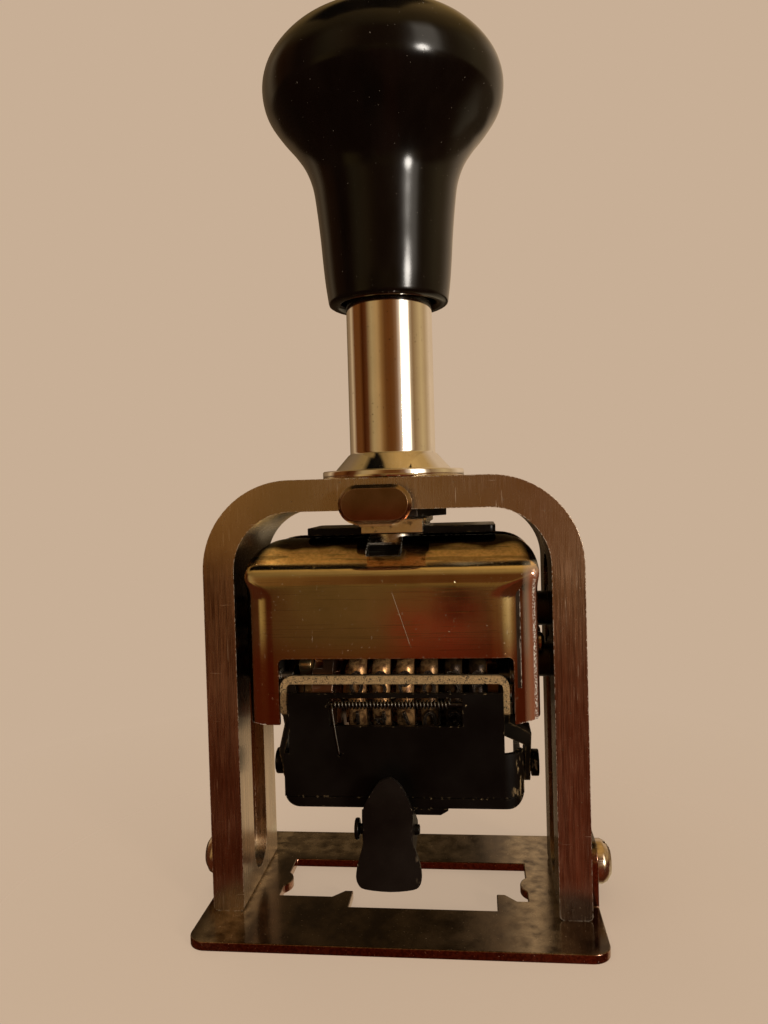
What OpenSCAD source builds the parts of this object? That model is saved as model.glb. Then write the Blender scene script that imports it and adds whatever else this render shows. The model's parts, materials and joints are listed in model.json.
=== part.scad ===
// Desk numbering machine. Pressing the knob drives a carriage with six number wheels down to the
// paper inside an arched frame, while the ink tray swings out in front of the wheels.
// Millimetres, +X right, +Y to the back, +Z up; the origin is the middle of the base plate's underside.

/* [Frame] */
// Width over the two legs
frame_w = 62.8; // [62.6:0.1:62.9]
// Thickness of the legs and the crossbar
bar_t = 5.3; // [5.2:0.05:5.5]
// Depth of the legs and the crossbar
leg_d = 23.2; // [22.4:0.2:24]
// Height of the crossbar's upper face
frame_top = 73.8; // [73.6:0.1:74]
// Outer radius of the two shoulders
bend_r = 15; // [12:0.5:17]
// Width of the base plate
plate_w = 66; // [66:0.2:68]
// Depth of the base plate
plate_d = 42.4; // [40:0.4:42.6]
// Thickness of the base plate
plate_t = 1.5; // [1.2:0.1:1.5]

/* [Plunger] */
// Travel of the knob and the carriage
stroke = 25.5; // [20:0.5:25.5]
// Outer radius of the chrome guide sleeve
sleeve_r = 7.5; // [7.3:0.1:7.8]
// Height of the sleeve's open upper end
sleeve_top = 112; // [110:1:114]
// Radius of the plunger rod
rod_r = 4.5; // [4.2:0.1:4.5]
// Height of the knob's lower lip
knob_lip_z = 104; // [103.5:0.5:106]

/* [Number wheels] */
// Distance from one wheel to the next
wheel_pitch = 4.03; // [4.03:0.01:4.06]
// Middle of the left number wheel
first_wheel_x = -6.2; // [-6.4:0.1:-6.1]
// Height of the wheel shaft
axle_z = 36.4; // [36.2:0.1:36.6]
// Distance from the shaft to a digit's face
type_r = 10.7; // [10.3:0.1:10.7]

/* [Carriage cover] */
// Thickness of the cover sheets
cover_t = 0.8; // [0.6:0.1:0.8]
// Lower edge of the front cover
cover_low_z = 33.8; // [33.8:0.2:35]
// Upper edge of the cover's window
window_top_z = 44.6; // [44.6:0.2:46]

/* [Hidden] */
$fn = 64;

// Frame
frame_x = frame_w / 2;
leg_in_x = frame_x - bar_t;
bar_low_z = frame_top - bar_t;
leg_y = leg_d / 2;
groove_w = 8.4;
groove_deep = 2;
groove_low_z = 8.3;
groove_high_z = 56;
ear_t = 1.5;
ear_top_z = 11.5;
ear_y = 7;
base_screw_z = 6.2;
shank_r = 6.5;
nut_low_z = 67.1;
print_x = 3.7;
foot_r = 0.8;

// Carriage, at rest
carriage_x = 20.9;
carriage_t = 1.2;
carriage_in_x = carriage_x - carriage_t;
carriage_top_z = 62.7;
cover_x = 24.2;
cover_y = 14;
cover_top_z = 64.2;
roof_y = 5;
fold_z = 58.1;
fold_r = 3;
corner_r = 4;
shoulder_r = 7;
buffer_top_z = 65.5;
stud_zs = [50.5, 41.6];
shaft_r = 2.5;
fit = 0.06;

// Wheels: ten faces, with the ratchet on the left of each wheel
wheel_count = 6;
faces = 10;
face_angle = 360 / faces;
type_h = 0.8;
type_w = 2.9;
ratchet_r = 7.6;
ratchet_w = 1;
ratchet_gap_x = -type_w / 2 - 0.565;
finger_w = 0.7;

// Ink tray: pivots and faces
bail_pivot = [-11.7, 41.3];
stud_pivot = [0, 23.4];
bail_t = 1;
bail_x = [-18.2, 18.9];
arm_x = [-20.9, 22.5];
tray_x = [-17.4, 20.9];
face_x = [-16.5, 17.85];
tray_front_y = -16;
tray_low_z = 21.2;
lip_h = 1.6;
slot_x = [-9.8, 11.4];
spring_yz = [-15.5, 37.6];
paddle_pivot = [-18.2, 18.7];
paddle_x = -0.45;

// Rocker: the feed pawl's shaft on its circle round the wheel shaft
rocker_r = 13.5;
rocker_angle = 38;
pawl_yz = [rocker_r * cos(rocker_angle), axle_z + rocker_r * sin(rocker_angle)];

// Lock slide
lock_z = 66;
lock_t = 0.9;
lock_travel = 3;
button_x = -1.55;
button_z = 69.5;
button_y = -16.6;

// Shapes shared by the sub-parts

// Extrudes a Y-Z outline from x0 to x1
module slab_x(x0, x1) {
    translate([x0, 0, 0]) rotate([90, 0, 90]) linear_extrude(x1 - x0) children();
}

// Extrudes an X-Z outline from y0 to y1
module slab_y(y0, y1) {
    translate([0, y1, 0]) rotate([90, 0, 0]) linear_extrude(y1 - y0) children();
}

// Round bar along X
module bar_x(x0, x1, yz, r) {
    translate([x0, yz.x, yz.y]) rotate([0, 90, 0]) cylinder(h = x1 - x0, r = r);
}

// Round bar along Y
module bar_y(y0, y1, xz, r) {
    translate([xz.x, y1, xz.y]) rotate([90, 0, 0]) cylinder(h = y1 - y0, r = r);
}

// Upright round bar
module bar_z(z0, z1, r) {
    translate([0, 0, z0]) cylinder(h = z1 - z0, r = r);
}

// Plain block between two corners
module block(low, high) {
    translate(low) cube(high - low);
}

module mirrored_x() {
    children();
    mirror([1, 0, 0]) children();
}

module mirrored_y() {
    children();
    mirror([0, 1, 0]) children();
}

// Rectangle from low to high with all corners rounded
module round_rect(low, high, r) {
    translate([low.x + r, low.y]) square([high.x - low.x - 2 * r, high.y - low.y]);
    translate([low.x, low.y + r]) square([high.x - low.x, high.y - low.y - 2 * r]);
    for (x = [low.x + r, high.x - r], y = [low.y + r, high.y - r])
        translate([x, y]) circle(r);
}

// Upright outline with two rounded upper corners
module arch_outline(half_w, low, high, r) {
    translate([-half_w, low]) square([2 * half_w, high - r - low]);
    translate([-half_w + r, low]) square([2 * (half_w - r), high - low]);
    for (side = [-1, 1]) translate([side * (half_w - r), high - r]) circle(r);
}

// Straight strip with round ends between two points
module strip(a, b, r) {
    reach = norm(b - a);
    turn = atan2(b.y - a.y, b.x - a.x);
    translate(a) rotate(turn) translate([0, -r]) square([reach, 2 * r]);
    translate(a) circle(r);
    translate(b) circle(r);
}

// Points of a rounded corner, from one angle to another
function arc(center, r, from, to, steps = 8) = [
    for (k = [0 : steps])
        let (a = from + k * (to - from) / steps)
        center + r * [cos(a), sin(a)]
];

// Point on a circle in the Y-Z plane round the wheel shaft
function round_shaft(r, angle) = [r * cos(angle), axle_z + r * sin(angle)];

// Smooth curve through stations, each a point, with steps between two of them
function curve(p, steps) = [
    for (i = [0 : len(p) - 2], k = [0 : steps - 1])
        let (t = k / steps)
        let (a = p[max(i - 1, 0)], b = p[i], c = p[i + 1], d = p[min(i + 2, len(p) - 1)])
        0.5 * (2 * b + t * (c - a) + t * t * (2 * a - 5 * b + 4 * c - d)
            + t * t * t * (3 * b - a - 3 * c + d))
];

// Wire: one unbroken tube of six sides along a path, whose frames turn about one reference axis
function unit(v) = v / norm(v);
function tangent(path, i) = unit(path[min(i + 1, len(path) - 1)] - path[max(i - 1, 0)]);
function ring(path, i, r, axis) =
    let (t = tangent(path, i), n = unit(cross(t, axis)), m = cross(n, t))
    [for (k = [0 : 5]) path[i] + r * (cos(60 * k) * n + sin(60 * k) * m)];

module wire(path, r, axis) {
    n = len(path);
    points = [for (i = [0 : n - 1]) each ring(path, i, r, axis)];
    sides = [
        for (i = [0 : n - 2], k = [0 : 5])
            let (a = 6 * i + k, b = 6 * i + (k + 1) % 6)
            each [[a, b, b + 6], [a, b + 6, a + 6]]
    ];
    ends = [
        for (k = [1 : 4])
            each [[0, k + 1, k], [6 * (n - 1), 6 * (n - 1) + k, 6 * (n - 1) + k + 1]]
    ];
    polyhedron(points, concat(sides, ends));
}

// Least gap between points of a wire that are more than half a turn of eight rings apart
function least_gap(path, r) = min([
    for (i = [0 : len(path) - 6])
        for (j = [i + 5 : min(i + 13, len(path) - 1)])
            norm(path[i] - path[j])
]) - 2 * r;

// Frame

// Cutter that rounds a lower corner of a leg at x; side is 1 for the leg's right, -1 for its left
module foot_cut(x, side) {
    translate([x, plate_t]) difference() {
        translate([side > 0 ? -foot_r : -0.1, -0.1]) square(foot_r + 0.1);
        translate([-side * foot_r, foot_r]) circle(foot_r);
    }
}

module outer_frame() {
    color("#8f8574")
    difference() {
        slab_y(-leg_y, leg_y) difference() {
            arch_outline(frame_x, plate_t, frame_top, bend_r);
            arch_outline(leg_in_x, plate_t - 1, bar_low_z, bend_r - bar_t);
        }
        mirrored_x() slab_x(leg_in_x - 1, leg_in_x + groove_deep)
            strip([0, groove_low_z], [0, groove_high_z], groove_w / 2);
        bar_z(bar_low_z - 1, frame_top + 1, shank_r + 0.05);
        for (x = [-3.5, 3.5]) translate([x, 10.2, bar_low_z - 1]) cylinder(h = 4.5, r = 1.15);
        mirrored_x() bar_x(frame_x - 3, frame_x + 1, [0, base_screw_z], 1.55);
        mirrored_x() slab_y(-leg_y - 1, leg_y + 1) {
            foot_cut(frame_x, 1);
            foot_cut(leg_in_x, -1);
        }
    }
}

// Print window: wide opening, a deeper notch in front between two pointers, and two side lobes
module window_outline() {
    low = -9;
    shelf = -5.6;
    back = 8.5;
    notch = 12.5;
    side = 21.5;
    point_y = -3.4;
    difference() {
        polygon([
            [-side, back], [-side, shelf], [print_x - notch - 3.4, shelf],
            [print_x - notch - 1.4, point_y], [print_x - notch, point_y], [print_x - notch, low],
            [print_x + notch, low], [print_x + notch, point_y], [print_x + notch + 1.4, point_y],
            [print_x + notch + 3.4, shelf], [side, shelf], [side, back]
        ]);
        for (s = [-1, 1]) translate([s * (side + 2.4), 0.4]) circle(3.5);
    }
}

module base_plate() {
    color("#9a917f") {
        linear_extrude(plate_t) difference() {
            round_rect([-plate_w / 2, -plate_d / 2], [plate_w / 2, plate_d / 2], 3);
            window_outline();
        }
        mirrored_x() difference() {
            slab_x(plate_w / 2 - ear_t, plate_w / 2) {
                round_rect([-ear_y, plate_t], [ear_y, ear_top_z], 3);
                translate([-ear_y, 0]) square([2 * ear_y, plate_t + 4]);
            }
            bar_x(plate_w / 2 - ear_t - 1, plate_w / 2 + 1, [0, base_screw_z], 1.55);
        }
    }
}

// Domed screw with a slot, its head towards +X
module dome_screw(x0, head_x, yz, shank, head, head_h) {
    difference() {
        union() {
            bar_x(x0, head_x + 0.4, yz, shank);
            bar_x(head_x, head_x + 0.45 * head_h, yz, head);
            translate([head_x + 0.45 * head_h, yz.x, yz.y]) rotate([0, 90, 0])
                cylinder(h = 0.3 * head_h, r1 = head, r2 = 0.88 * head);
            translate([head_x + 0.75 * head_h, yz.x, yz.y]) rotate([0, 90, 0])
                cylinder(h = 0.25 * head_h, r1 = 0.88 * head, r2 = 0.6 * head);
        }
        block([head_x + 0.6 * head_h, yz.x - 0.14 * head, yz.y - head - 1],
            [head_x + head_h + 1, yz.x + 0.14 * head, yz.y + head + 1]);
    }
}

module base_screws() {
    color("#b8ab93")
    mirrored_x() dome_screw(frame_x - 2.8, plate_w / 2, [0, base_screw_z], 1.5, 3.7, 2.9);
}

module guide_sleeve() {
    color("#d8d4cc")
    rotate_extrude($fn = 96) polygon([
        [rod_r + fit, nut_low_z], [shank_r, nut_low_z], [shank_r, frame_top], [12.4, frame_top],
        [12.4, 74.9], [12.1, 75.2], [10.2, 75.2], [sleeve_r + 0.25, 78], [sleeve_r, 78.05],
        [sleeve_r, sleeve_top - 0.4], [sleeve_r - 0.4, sleeve_top], [6.7, sleeve_top],
        [6.7, 76.5], [rod_r + fit, 76.5]
    ]);
}

module sleeve_nut() {
    color("#4a443c")
    difference() {
        translate([0, 0, nut_low_z]) cylinder(h = bar_low_z - nut_low_z, r = 9.2, $fn = 6);
        bar_z(nut_low_z - 1, bar_low_z + 1, shank_r + 0.03);
    }
}

// Shoulder screws that hold the lock slide up against the crossbar
module lock_screws() {
    color("#77706a")
    for (x = [-3.5, 3.5]) translate([x, 10.2, 0]) {
        bar_z(lock_z - 1.1, lock_z - 0.2, 2.2);
        bar_z(lock_z - 0.3, bar_low_z - 0.1, 1.45);
        bar_z(bar_low_z - 0.2, bar_low_z + 3, 1.1);
    }
}

// Lock slide: a keyhole plate whose narrow end enters a neck of the rod when the button goes in,
// with a thicker tongue in front
module lock_slide() {
    tongue_x = [-4.2, 5.7];
    color("#85796a") {
        block([tongue_x.x, -13, lock_z - 1.2], [tongue_x.y, -10.3, lock_z + 0.1]);
        translate([0, 0, lock_z]) linear_extrude(lock_t) difference() {
            union() {
                translate([tongue_x.x, -13]) square([tongue_x.y - tongue_x.x, 7]);
                translate([tongue_x.x, -15.6]) square([5.3, 3]);
                round_rect([-6.2, -9.5], [6.2, 12.4], 1.2);
            }
            circle(rod_r + 0.25);
            translate([-3.8, -lock_travel]) square([7.6, lock_travel]);
            translate([0, -lock_travel]) circle(3.8);
            for (x = [-3.5, 3.5]) strip([x, 10.2 - lock_travel - 0.1], [x, 10.3], 1.55);
        }
        button_block(button_y + 0.7, button_y + 1.8, 5.9, 3.15, 0);
        button_block(button_y, button_y + 0.7, 5.9, 3.15, 0.6);
    }
}

// Stadium-shaped block along Y; bevel draws in its front face
module button_block(y0, y1, half_w, half_h, bevel) {
    half_flat = half_w - half_h;
    for (side = [-1, 1])
        translate([button_x + side * half_flat, y1, button_z]) rotate([90, 0, 0])
            cylinder(h = y1 - y0, r1 = half_h, r2 = half_h - bevel);
    slab_x(button_x - half_flat, button_x + half_flat) polygon([
        [y1, button_z - half_h], [y1, button_z + half_h],
        [y0, button_z + half_h - bevel], [y0, button_z - half_h + bevel]
    ]);
}

// Plunger and carriage

// Outline of the knob, as radius and height above its lip: a slim grip that swells to a round head
knob_stations = [
    [10.5, 0.6], [10.95, 4], [11.3, 8], [11.6, 12], [12.1, 17], [12.7, 21], [14, 24.5],
    [15.95, 27.5], [18.4, 30.5], [20.3, 33.5], [20.9, 36.7], [20.4, 39.5], [19.05, 41.9],
    [16.9, 44.2], [14.1, 46.1], [10.8, 47.7], [7.1, 48.9], [3.4, 49.6], [0, 49.8]
];
knob_cavity_r = 8.2;

module knob() {
    cavity_top = knob_lip_z + 34.2;
    color("#141212")
    translate([0, 0, knob_lip_z]) difference() {
        rotate_extrude($fn = 96) polygon(concat(
            [[0, 0], [9.9, 0]], curve(knob_stations, 3), [[0, 49.8]]
        ));
        translate([0, 0, -1]) cylinder(h = cavity_top - knob_lip_z + 1, r = knob_cavity_r);
        translate([0, 0, 30]) cylinder(h = 17.2, r = rod_r + 0.02);
    }
}

module plunger_rod() {
    neck_r = 3.6;
    neck_low = lock_z - 0.3;
    neck_high = lock_z + lock_t + 1.1;
    color("#c9c4ba")
    rotate_extrude() polygon([
        [0, 57.4], [rod_r - 0.5, 57.4], [rod_r, 57.9], [rod_r, buffer_top_z],
        [6.2, buffer_top_z], [6.2, neck_low], [neck_r, neck_low], [neck_r, neck_high],
        [rod_r, neck_high], [rod_r, neck_low + stroke], [neck_r, neck_low + stroke],
        [neck_r, neck_high + stroke], [rod_r, neck_high + stroke], [rod_r, 151], [0, 151]
    ]);
}

module rod_nut() {
    color("#6f6960")
    difference() {
        translate([0, 0, 58.2]) cylinder(h = carriage_top_z - carriage_t - 58.2, r = 6.4, $fn = 6);
        bar_z(57, carriage_top_z, rod_r + 0.03);
    }
}

// Return spring, hidden in the sleeve and the knob
main_spring_wire_r = 0.55;
main_spring_turns = 18;
main_spring_path = [
    for (i = [0 : 8 * main_spring_turns])
        let (a = 45 * i)
        [5.6 * cos(a), 5.6 * sin(a), 77.2 + 60.2 * i / (8 * main_spring_turns)]
];

module main_spring() {
    color("#8d8d90") wire(main_spring_path, main_spring_wire_r, [0, 0, 1]);
}

module buffer_plate() {
    color("#1c1b1b")
    translate([0, 0, cover_top_z + 0.1]) linear_extrude(buffer_top_z - cover_top_z - 0.1)
        difference() {
            round_rect([-14.5, -6.8], [17.5, 6.8], 1);
            circle(rod_r + 0.05);
        }
}

// Side outline of the carriage frame: cut away in front for the swinging bail
module carriage_outline() {
    polygon([
        [-4.7, carriage_top_z], [4.7, carriage_top_z], [4.7, 62.3], [12.9, 57.3], [12.9, 34],
        [8, 28], [0.7, 28], [-0.9, 30.5], [-3.2, 34.5], [-3.8, 36], [-3.8, 39.6],
        [-12.9, 39.6], [-12.9, 57.3], [-4.7, 62.3]
    ]);
}

module carriage_frame() {
    color("#5f5b55")
    difference() {
        union() {
            intersection() {
                slab_y(-13, 13) difference() {
                    arch_outline(carriage_x, 27, carriage_top_z, 6.5);
                    arch_outline(carriage_in_x, 26, carriage_top_z - carriage_t, 5.3);
                }
                slab_x(-carriage_x - 1, carriage_x + 1) carriage_outline();
            }
            slab_x(-4, 1.3)
                polygon([
                    [-4.5, 62.5], [-9.3, 59.8], [-9.3, 58.9], [-5.8, 61.1], [-5.8, 61.5],
                    [-4.5, 61.5]
                ]);
        }
        bar_z(carriage_top_z - 3, carriage_top_z + 1, rod_r + 0.05);
        mirrored_x() for (z = stud_zs) bar_x(17, 22, [0, z], 1.8);
        mirrored_x() mirrored_y() bar_x(17, 22, [4, 45.4], 0.82);
        bar_x(-22, 22, [0, axle_z], shaft_r + 0.02);
        bar_x(-22, 22, bail_pivot, 0.82);
    }
}

// Solid form of the covers, drawn in by t on every side
module cover_form(t) {
    low = 20;
    roof_rise = atan((cover_top_z - fold_z) / (cover_y - roof_y));
    fold_c = [-cover_y + fold_r, fold_z - fold_r / tan(45 + roof_rise / 2)];
    ridge_z = cover_top_z + roof_y * tan(roof_rise) - t / cos(roof_rise);
    intersection() {
        translate([0, 0, low]) linear_extrude(50)
            round_rect([-cover_x + t, -cover_y + t], [cover_x - t, 20], corner_r - t);
        slab_x(-30, 30) polygon(concat(
            [[2, low], [-cover_y + t, low]],
            arc(fold_c, fold_r - t, 180, 90 + roof_rise),
            [[0, ridge_z], [2, ridge_z]]
        ));
        slab_y(-30, 10) arch_outline(cover_x - t, low, cover_top_z - t, shoulder_r - t);
    }
}

// Sheet cover in front of the seam, with clearance holes for the studs and the side screws
module cover_shell(low) {
    seam_y = -0.15;
    edge_y = -roof_y - 0.05;
    top_z = cover_top_z + 1;
    difference() {
        intersection() {
            difference() {
                cover_form(0);
                cover_form(cover_t);
            }
            slab_x(-30, 30) polygon([
                [-20, low], [seam_y, low], [seam_y, 60.5], [edge_y, 60.5], [edge_y, top_z],
                [-20, top_z]
            ]);
        }
        mirrored_x() for (z = stud_zs) bar_x(20, 30, [0, z], 3.1);
        mirrored_x() bar_x(20, 30, [-4, 45.4], 0.82);
    }
}

module front_cover() {
    color("#a3967c")
    difference() {
        cover_shell(cover_low_z);
        translate([0.65, 0, 0]) slab_y(-cover_y - 1, -cover_y + 5)
            arch_outline(19.05, cover_low_z - 1, window_top_z, 0.9);
        block([-3.9, -cover_y - 1, 60.9], [1.8, 0, cover_top_z + 1]);
    }
}

module rear_cover() {
    color("#a3967c")
    difference() {
        mirror([0, 1, 0]) cover_shell(31);
        for (x = [-14, 14]) bar_y(11, 16, [x, 54], 1.05);
    }
}

module cover_screws() {
    color("#b3a892") {
        mirrored_x() mirrored_y()
            dome_screw(carriage_in_x + 0.2, cover_x, [-4, 45.4], 0.8, 1.6, 1);
        for (x = [-14, 14]) translate([x, 0, 54]) rotate([0, 0, 90])
            dome_screw(11.2, cover_y, [0, 0], 1, 2.1, 1.3);
    }
}

// Studs on the carriage whose heads run in the grooves of the legs
module guide_studs() {
    color("#cfc8b8")
    mirrored_x() for (z = stud_zs) {
        bar_x(carriage_in_x - 0.2, carriage_x + 0.5, [0, z], 1.75);
        bar_x(carriage_x, leg_in_x + 0.3, [0, z], 3);
        bar_x(leg_in_x + 0.2, leg_in_x + groove_deep - 0.2, [0, z], groove_w / 2 - 0.25);
    }
}

module wheel_shaft() {
    color("#a9a59c") bar_x(-carriage_x, carriage_x, [0, axle_z], shaft_r);
}

// Washers that keep the wheels, the selector and the rocker arms apart on the shaft
module wheel_spacers() {
    last_x = first_wheel_x + (wheel_count - 1) * wheel_pitch + type_w / 2;
    color("#b08d4a")
    for (span = [[-17.3, -16.4], [-9.4, first_wheel_x - 2.6], [last_x + 0.15, 17.3]])
        difference() {
            bar_x(span.x, span.y, [0, axle_z], 4.4);
            bar_x(span.x - 1, span.y + 1, [0, axle_z], shaft_r + 0.02);
        }
}

module rear_bar() {
    color("#77726a")
    difference() {
        block([-carriage_in_x, 10.6, 51.2], [carriage_in_x, 12.9, 56.1]);
        for (x = [-14, 14]) bar_y(9, 16, [x, 54], 1.05);
    }
}

module detent_bar() {
    color("#77726a") block([-carriage_in_x, -10.4, 50], [carriage_in_x, -7.6, 55]);
}

// Comb of leaf springs: each finger rests in a notch of one wheel's ratchet
module detent_springs() {
    last_x = first_wheel_x + (wheel_count - 1) * wheel_pitch;
    color("#9c9ea3") {
        block([first_wheel_x - 4, -7.6, 48], [last_x + 1, -7.2, 54.5]);
        for (i = [0 : wheel_count - 1])
            translate([first_wheel_x + i * wheel_pitch + ratchet_gap_x, 0, 0])
                slab_x(-finger_w / 2, finger_w / 2) polygon([
                    [-7.6, 48.2], round_shaft(8.05, 122), round_shaft(8.05, 118), [-7.2, 48.2]
                ]);
    }
}

// Pivot pins of the pad bail, each with a spacer against the carriage frame
module bail_pins() {
    color("#6b665d") {
        bar_x(-carriage_x, -16.4, bail_pivot, 0.8);
        bar_x(-carriage_in_x, bail_x.x - 0.15, bail_pivot, 1.4);
        bar_x(17.3, carriage_x, bail_pivot, 0.8);
        bar_x(bail_x.y + 0.15, carriage_in_x, bail_pivot, 1.4);
    }
}

// Number wheels

// Strokes of the digits 0 to 9: top, upper right, lower right, bottom, lower left, upper left, middle
strokes = [
    [1, 1, 1, 1, 1, 1, 0], [0, 1, 1, 0, 0, 0, 0], [1, 1, 0, 1, 1, 0, 1], [1, 1, 1, 1, 0, 0, 1],
    [0, 1, 1, 0, 0, 1, 1], [1, 0, 1, 1, 0, 1, 1], [1, 0, 1, 1, 1, 1, 1], [1, 1, 1, 0, 0, 0, 0],
    [1, 1, 1, 1, 1, 1, 1], [1, 1, 1, 1, 0, 1, 1]
];
digit_w = 2.2;
digit_h = 4.2;
stroke_w = 0.55;

module digit(n) {
    across = [digit_w / 2 - stroke_w / 2, digit_h / 2 - stroke_w / 2];
    level = [[0, across.y], [0, -across.y], [0, 0]];
    upright = [[across.x, across.y / 2], [across.x, -across.y / 2],
        [-across.x, -across.y / 2], [-across.x, across.y / 2]];
    for (k = [0 : 2])
        if (strokes[n][[0, 3, 6][k]] == 1)
            translate(level[k]) square([digit_w, stroke_w], center = true);
    for (k = [0 : 3])
        if (strokes[n][[1, 2, 4, 5][k]] == 1)
            translate(upright[k]) square([stroke_w, digit_h / 2 + stroke_w / 2], center = true);
}

// Ratchet disc with one saw tooth for each face
module ratchet_outline() {
    polygon([
        for (k = [0 : faces - 1])
            each [ratchet_r * [cos(k * face_angle), sin(k * face_angle)],
                (ratchet_r - 1.7) * [cos(k * face_angle + 4), sin(k * face_angle + 4)]]
    ]);
}

// Wheel with ten raised digits in mirror writing, one of them facing straight down
module number_wheel(i) {
    body_r = type_r - type_h;
    color("#a89670")
    translate([first_wheel_x + (i - 1) * wheel_pitch, 0, axle_z]) difference() {
        union() {
            rotate([0, 90, 0]) rotate([0, 0, face_angle / 2])
                translate([0, 0, -type_w / 2])
                cylinder(h = type_w, r = body_r / cos(face_angle / 2), $fn = faces);
            for (k = [0 : faces - 1])
                rotate([face_angle * k, 0, 0]) translate([0, 0, -type_r])
                    linear_extrude(type_h + 0.3) digit((k + 3 * i) % 10);
            slab_x(-type_w / 2 - ratchet_w, -type_w / 2 + 0.2) ratchet_outline();
        }
        bar_x(-4, 4, [0, 0], shaft_r + fit);
    }
}

// Plain wheel that counts how often each number is printed
module repeat_wheel() {
    color("#97866a")
    difference() {
        union() {
            bar_x(-13.9, -10.35, [0, axle_z], 9.8);
            translate([0, 0, axle_z]) slab_x(-10.4, -9.55) ratchet_outline();
        }
        bar_x(-15, -8, [0, axle_z], shaft_r + fit);
        for (k = [0 : 3]) translate([0, 0, axle_z]) rotate([90 * k + 50, 0, 0])
            block([-14.5, -1, 8.6], [-12.2, 1, 11]);
    }
}

module selector_lever() {
    color("#c9a24e")
    difference() {
        slab_x(-16.25, -14.15) {
            translate([0, axle_z]) circle(4.6);
            strip([0, axle_z], round_shaft(9.2, 140), 1.2);
        }
        bar_x(-18, -12, [0, axle_z], shaft_r + fit);
    }
}

// Rocker with the feed pawl

module rocker_arm(x0, x1) {
    color("#6d6860")
    difference() {
        slab_x(x0, x1) {
            translate([0, axle_z]) circle(4.3);
            strip([0, axle_z], pawl_yz, 2.2);
        }
        bar_x(x0 - 1, x1 + 1, [0, axle_z], shaft_r + fit);
        bar_x(x0 - 1, x1 + 1, pawl_yz, 1.22);
    }
}

module rocker_arm_left() {
    rocker_arm(-18.6, -17.4);
}

module rocker_arm_right() {
    rocker_arm(17.4, 18.6);
}

module pawl_shaft() {
    color("#a9a59c") bar_x(-18.75, 18.75, pawl_yz, 1.2);
}

// Stepped pawl with one finger for each ratchet
module feed_pawl() {
    last_x = first_wheel_x + (wheel_count - 1) * wheel_pitch;
    color("#8f8a80")
    difference() {
        union() {
            bar_x(first_wheel_x - 4, last_x + 1, pawl_yz, 2);
            for (i = [0 : wheel_count - 1])
                translate([first_wheel_x + i * wheel_pitch + ratchet_gap_x, 0, 0])
                    slab_x(-finger_w / 2, finger_w / 2) polygon([
                        round_shaft(12.6, rocker_angle + 7), round_shaft(12.6, rocker_angle - 7),
                        round_shaft(8, rocker_angle - 8), round_shaft(8.1, rocker_angle - 3)
                    ]);
        }
        bar_x(first_wheel_x - 6, last_x + 3, pawl_yz, 1.25);
    }
}

// Ink tray

// Front view of the bail: a deep bar over two arms that spread below it
module bail_front() {
    deep = 1.3;
    top_z = 41.8;
    out_r = 2;
    in_r = 0.8;
    low_z = 18;
    out_z = top_z - out_r;
    in_z = top_z - deep - in_r;
    left_x = bail_x.x + bail_t + in_r;
    right_x = bail_x.y - bail_t - in_r;
    polygon(concat(
        [[arm_x.y, low_z], [arm_x.y, 30.9], [bail_x.y, 33.1]],
        arc([bail_x.y - out_r, out_z], out_r, 0, 90),
        arc([bail_x.x + out_r, out_z], out_r, 90, 180),
        [[bail_x.x, 34.2], [arm_x.x, 26.8], [arm_x.x, low_z]],
        [[arm_x.x + bail_t, low_z], [arm_x.x + bail_t, 26.6], [bail_x.x + bail_t, 34]],
        arc([left_x, in_z], in_r, 180, 90),
        arc([right_x, in_z], in_r, 90, 0),
        [[bail_x.y - bail_t, 30.4], [arm_x.y - bail_t, 28.4], [arm_x.y - bail_t, low_z]]
    ));
}

// Side view of the bail: a broad bar in front and arms that slope down to the tray's studs
module bail_side() {
    polygon(concat(
        [[-14.05, 41.8], [-9.8, 41.8], [-5.1, 35.8]],
        arc(stud_pivot, 3, 67, -180, 24),
        [[-9.6, 33], [-14.05, 35.8]]
    ));
}

module pad_bail() {
    color("#2a2622")
    difference() {
        intersection() {
            slab_y(-16, 6) bail_front();
            slab_x(-30, 30) bail_side();
        }
        block([bail_x.x + bail_t, -12.5, 34.8], [bail_x.y - bail_t, 0, 43]);
        bar_x(-30, 30, bail_pivot, 0.86);
        bar_x(-30, 30, stud_pivot, 1.52);
    }
}

// Plan of the tray's box, drawn in by t: square on the left, rounded at the right front corner
module tray_plan(t) {
    r = 3.4 - t;
    front_y = tray_front_y + t;
    polygon(concat(
        [[tray_x.x + t, 4.2 - t], [tray_x.x + t, front_y]],
        arc([tray_x.y - t - r, front_y + r], r, -90, 0, 12),
        [[tray_x.y - t, 4.2 - t]]
    ));
}

// Carrier: walls round the pad and a slotted front face
module pad_carrier() {
    rim_z = tray_low_z + lip_h + 0.1;
    wall_top_z = 29.8;
    color("#191716")
    difference() {
        union() {
            intersection() {
                translate([0, 0, rim_z]) linear_extrude(12) tray_plan(0);
                slab_x(-30, 30) polygon([
                    [-17, 20], [5, 20], [5, 26.4], [-8, 26.4], [-12.5, wall_top_z],
                    [-17, wall_top_z]
                ]);
            }
            block([face_x.x, tray_front_y, wall_top_z - 1], [face_x.y, tray_front_y + 1, 39.4]);
        }
        translate([0, 0, rim_z - 1]) linear_extrude(wall_top_z) tray_plan(1);
        block([tray_x.x + 1, 0, rim_z - 1], [tray_x.y - 1, 6, 40]);
        block([slot_x.x, tray_front_y - 1, 34.2], [slot_x.y, tray_front_y + 2, 38.7]);
        bar_x(slot_x.x - 1, slot_x.y + 1, spring_yz, 0.44);
        bar_y(tray_front_y - 1, tray_front_y + 2, [tray_leg_x, 29.7], 0.3);
        bar_x(-30, 30, stud_pivot, 1.47);
    }
}

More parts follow.
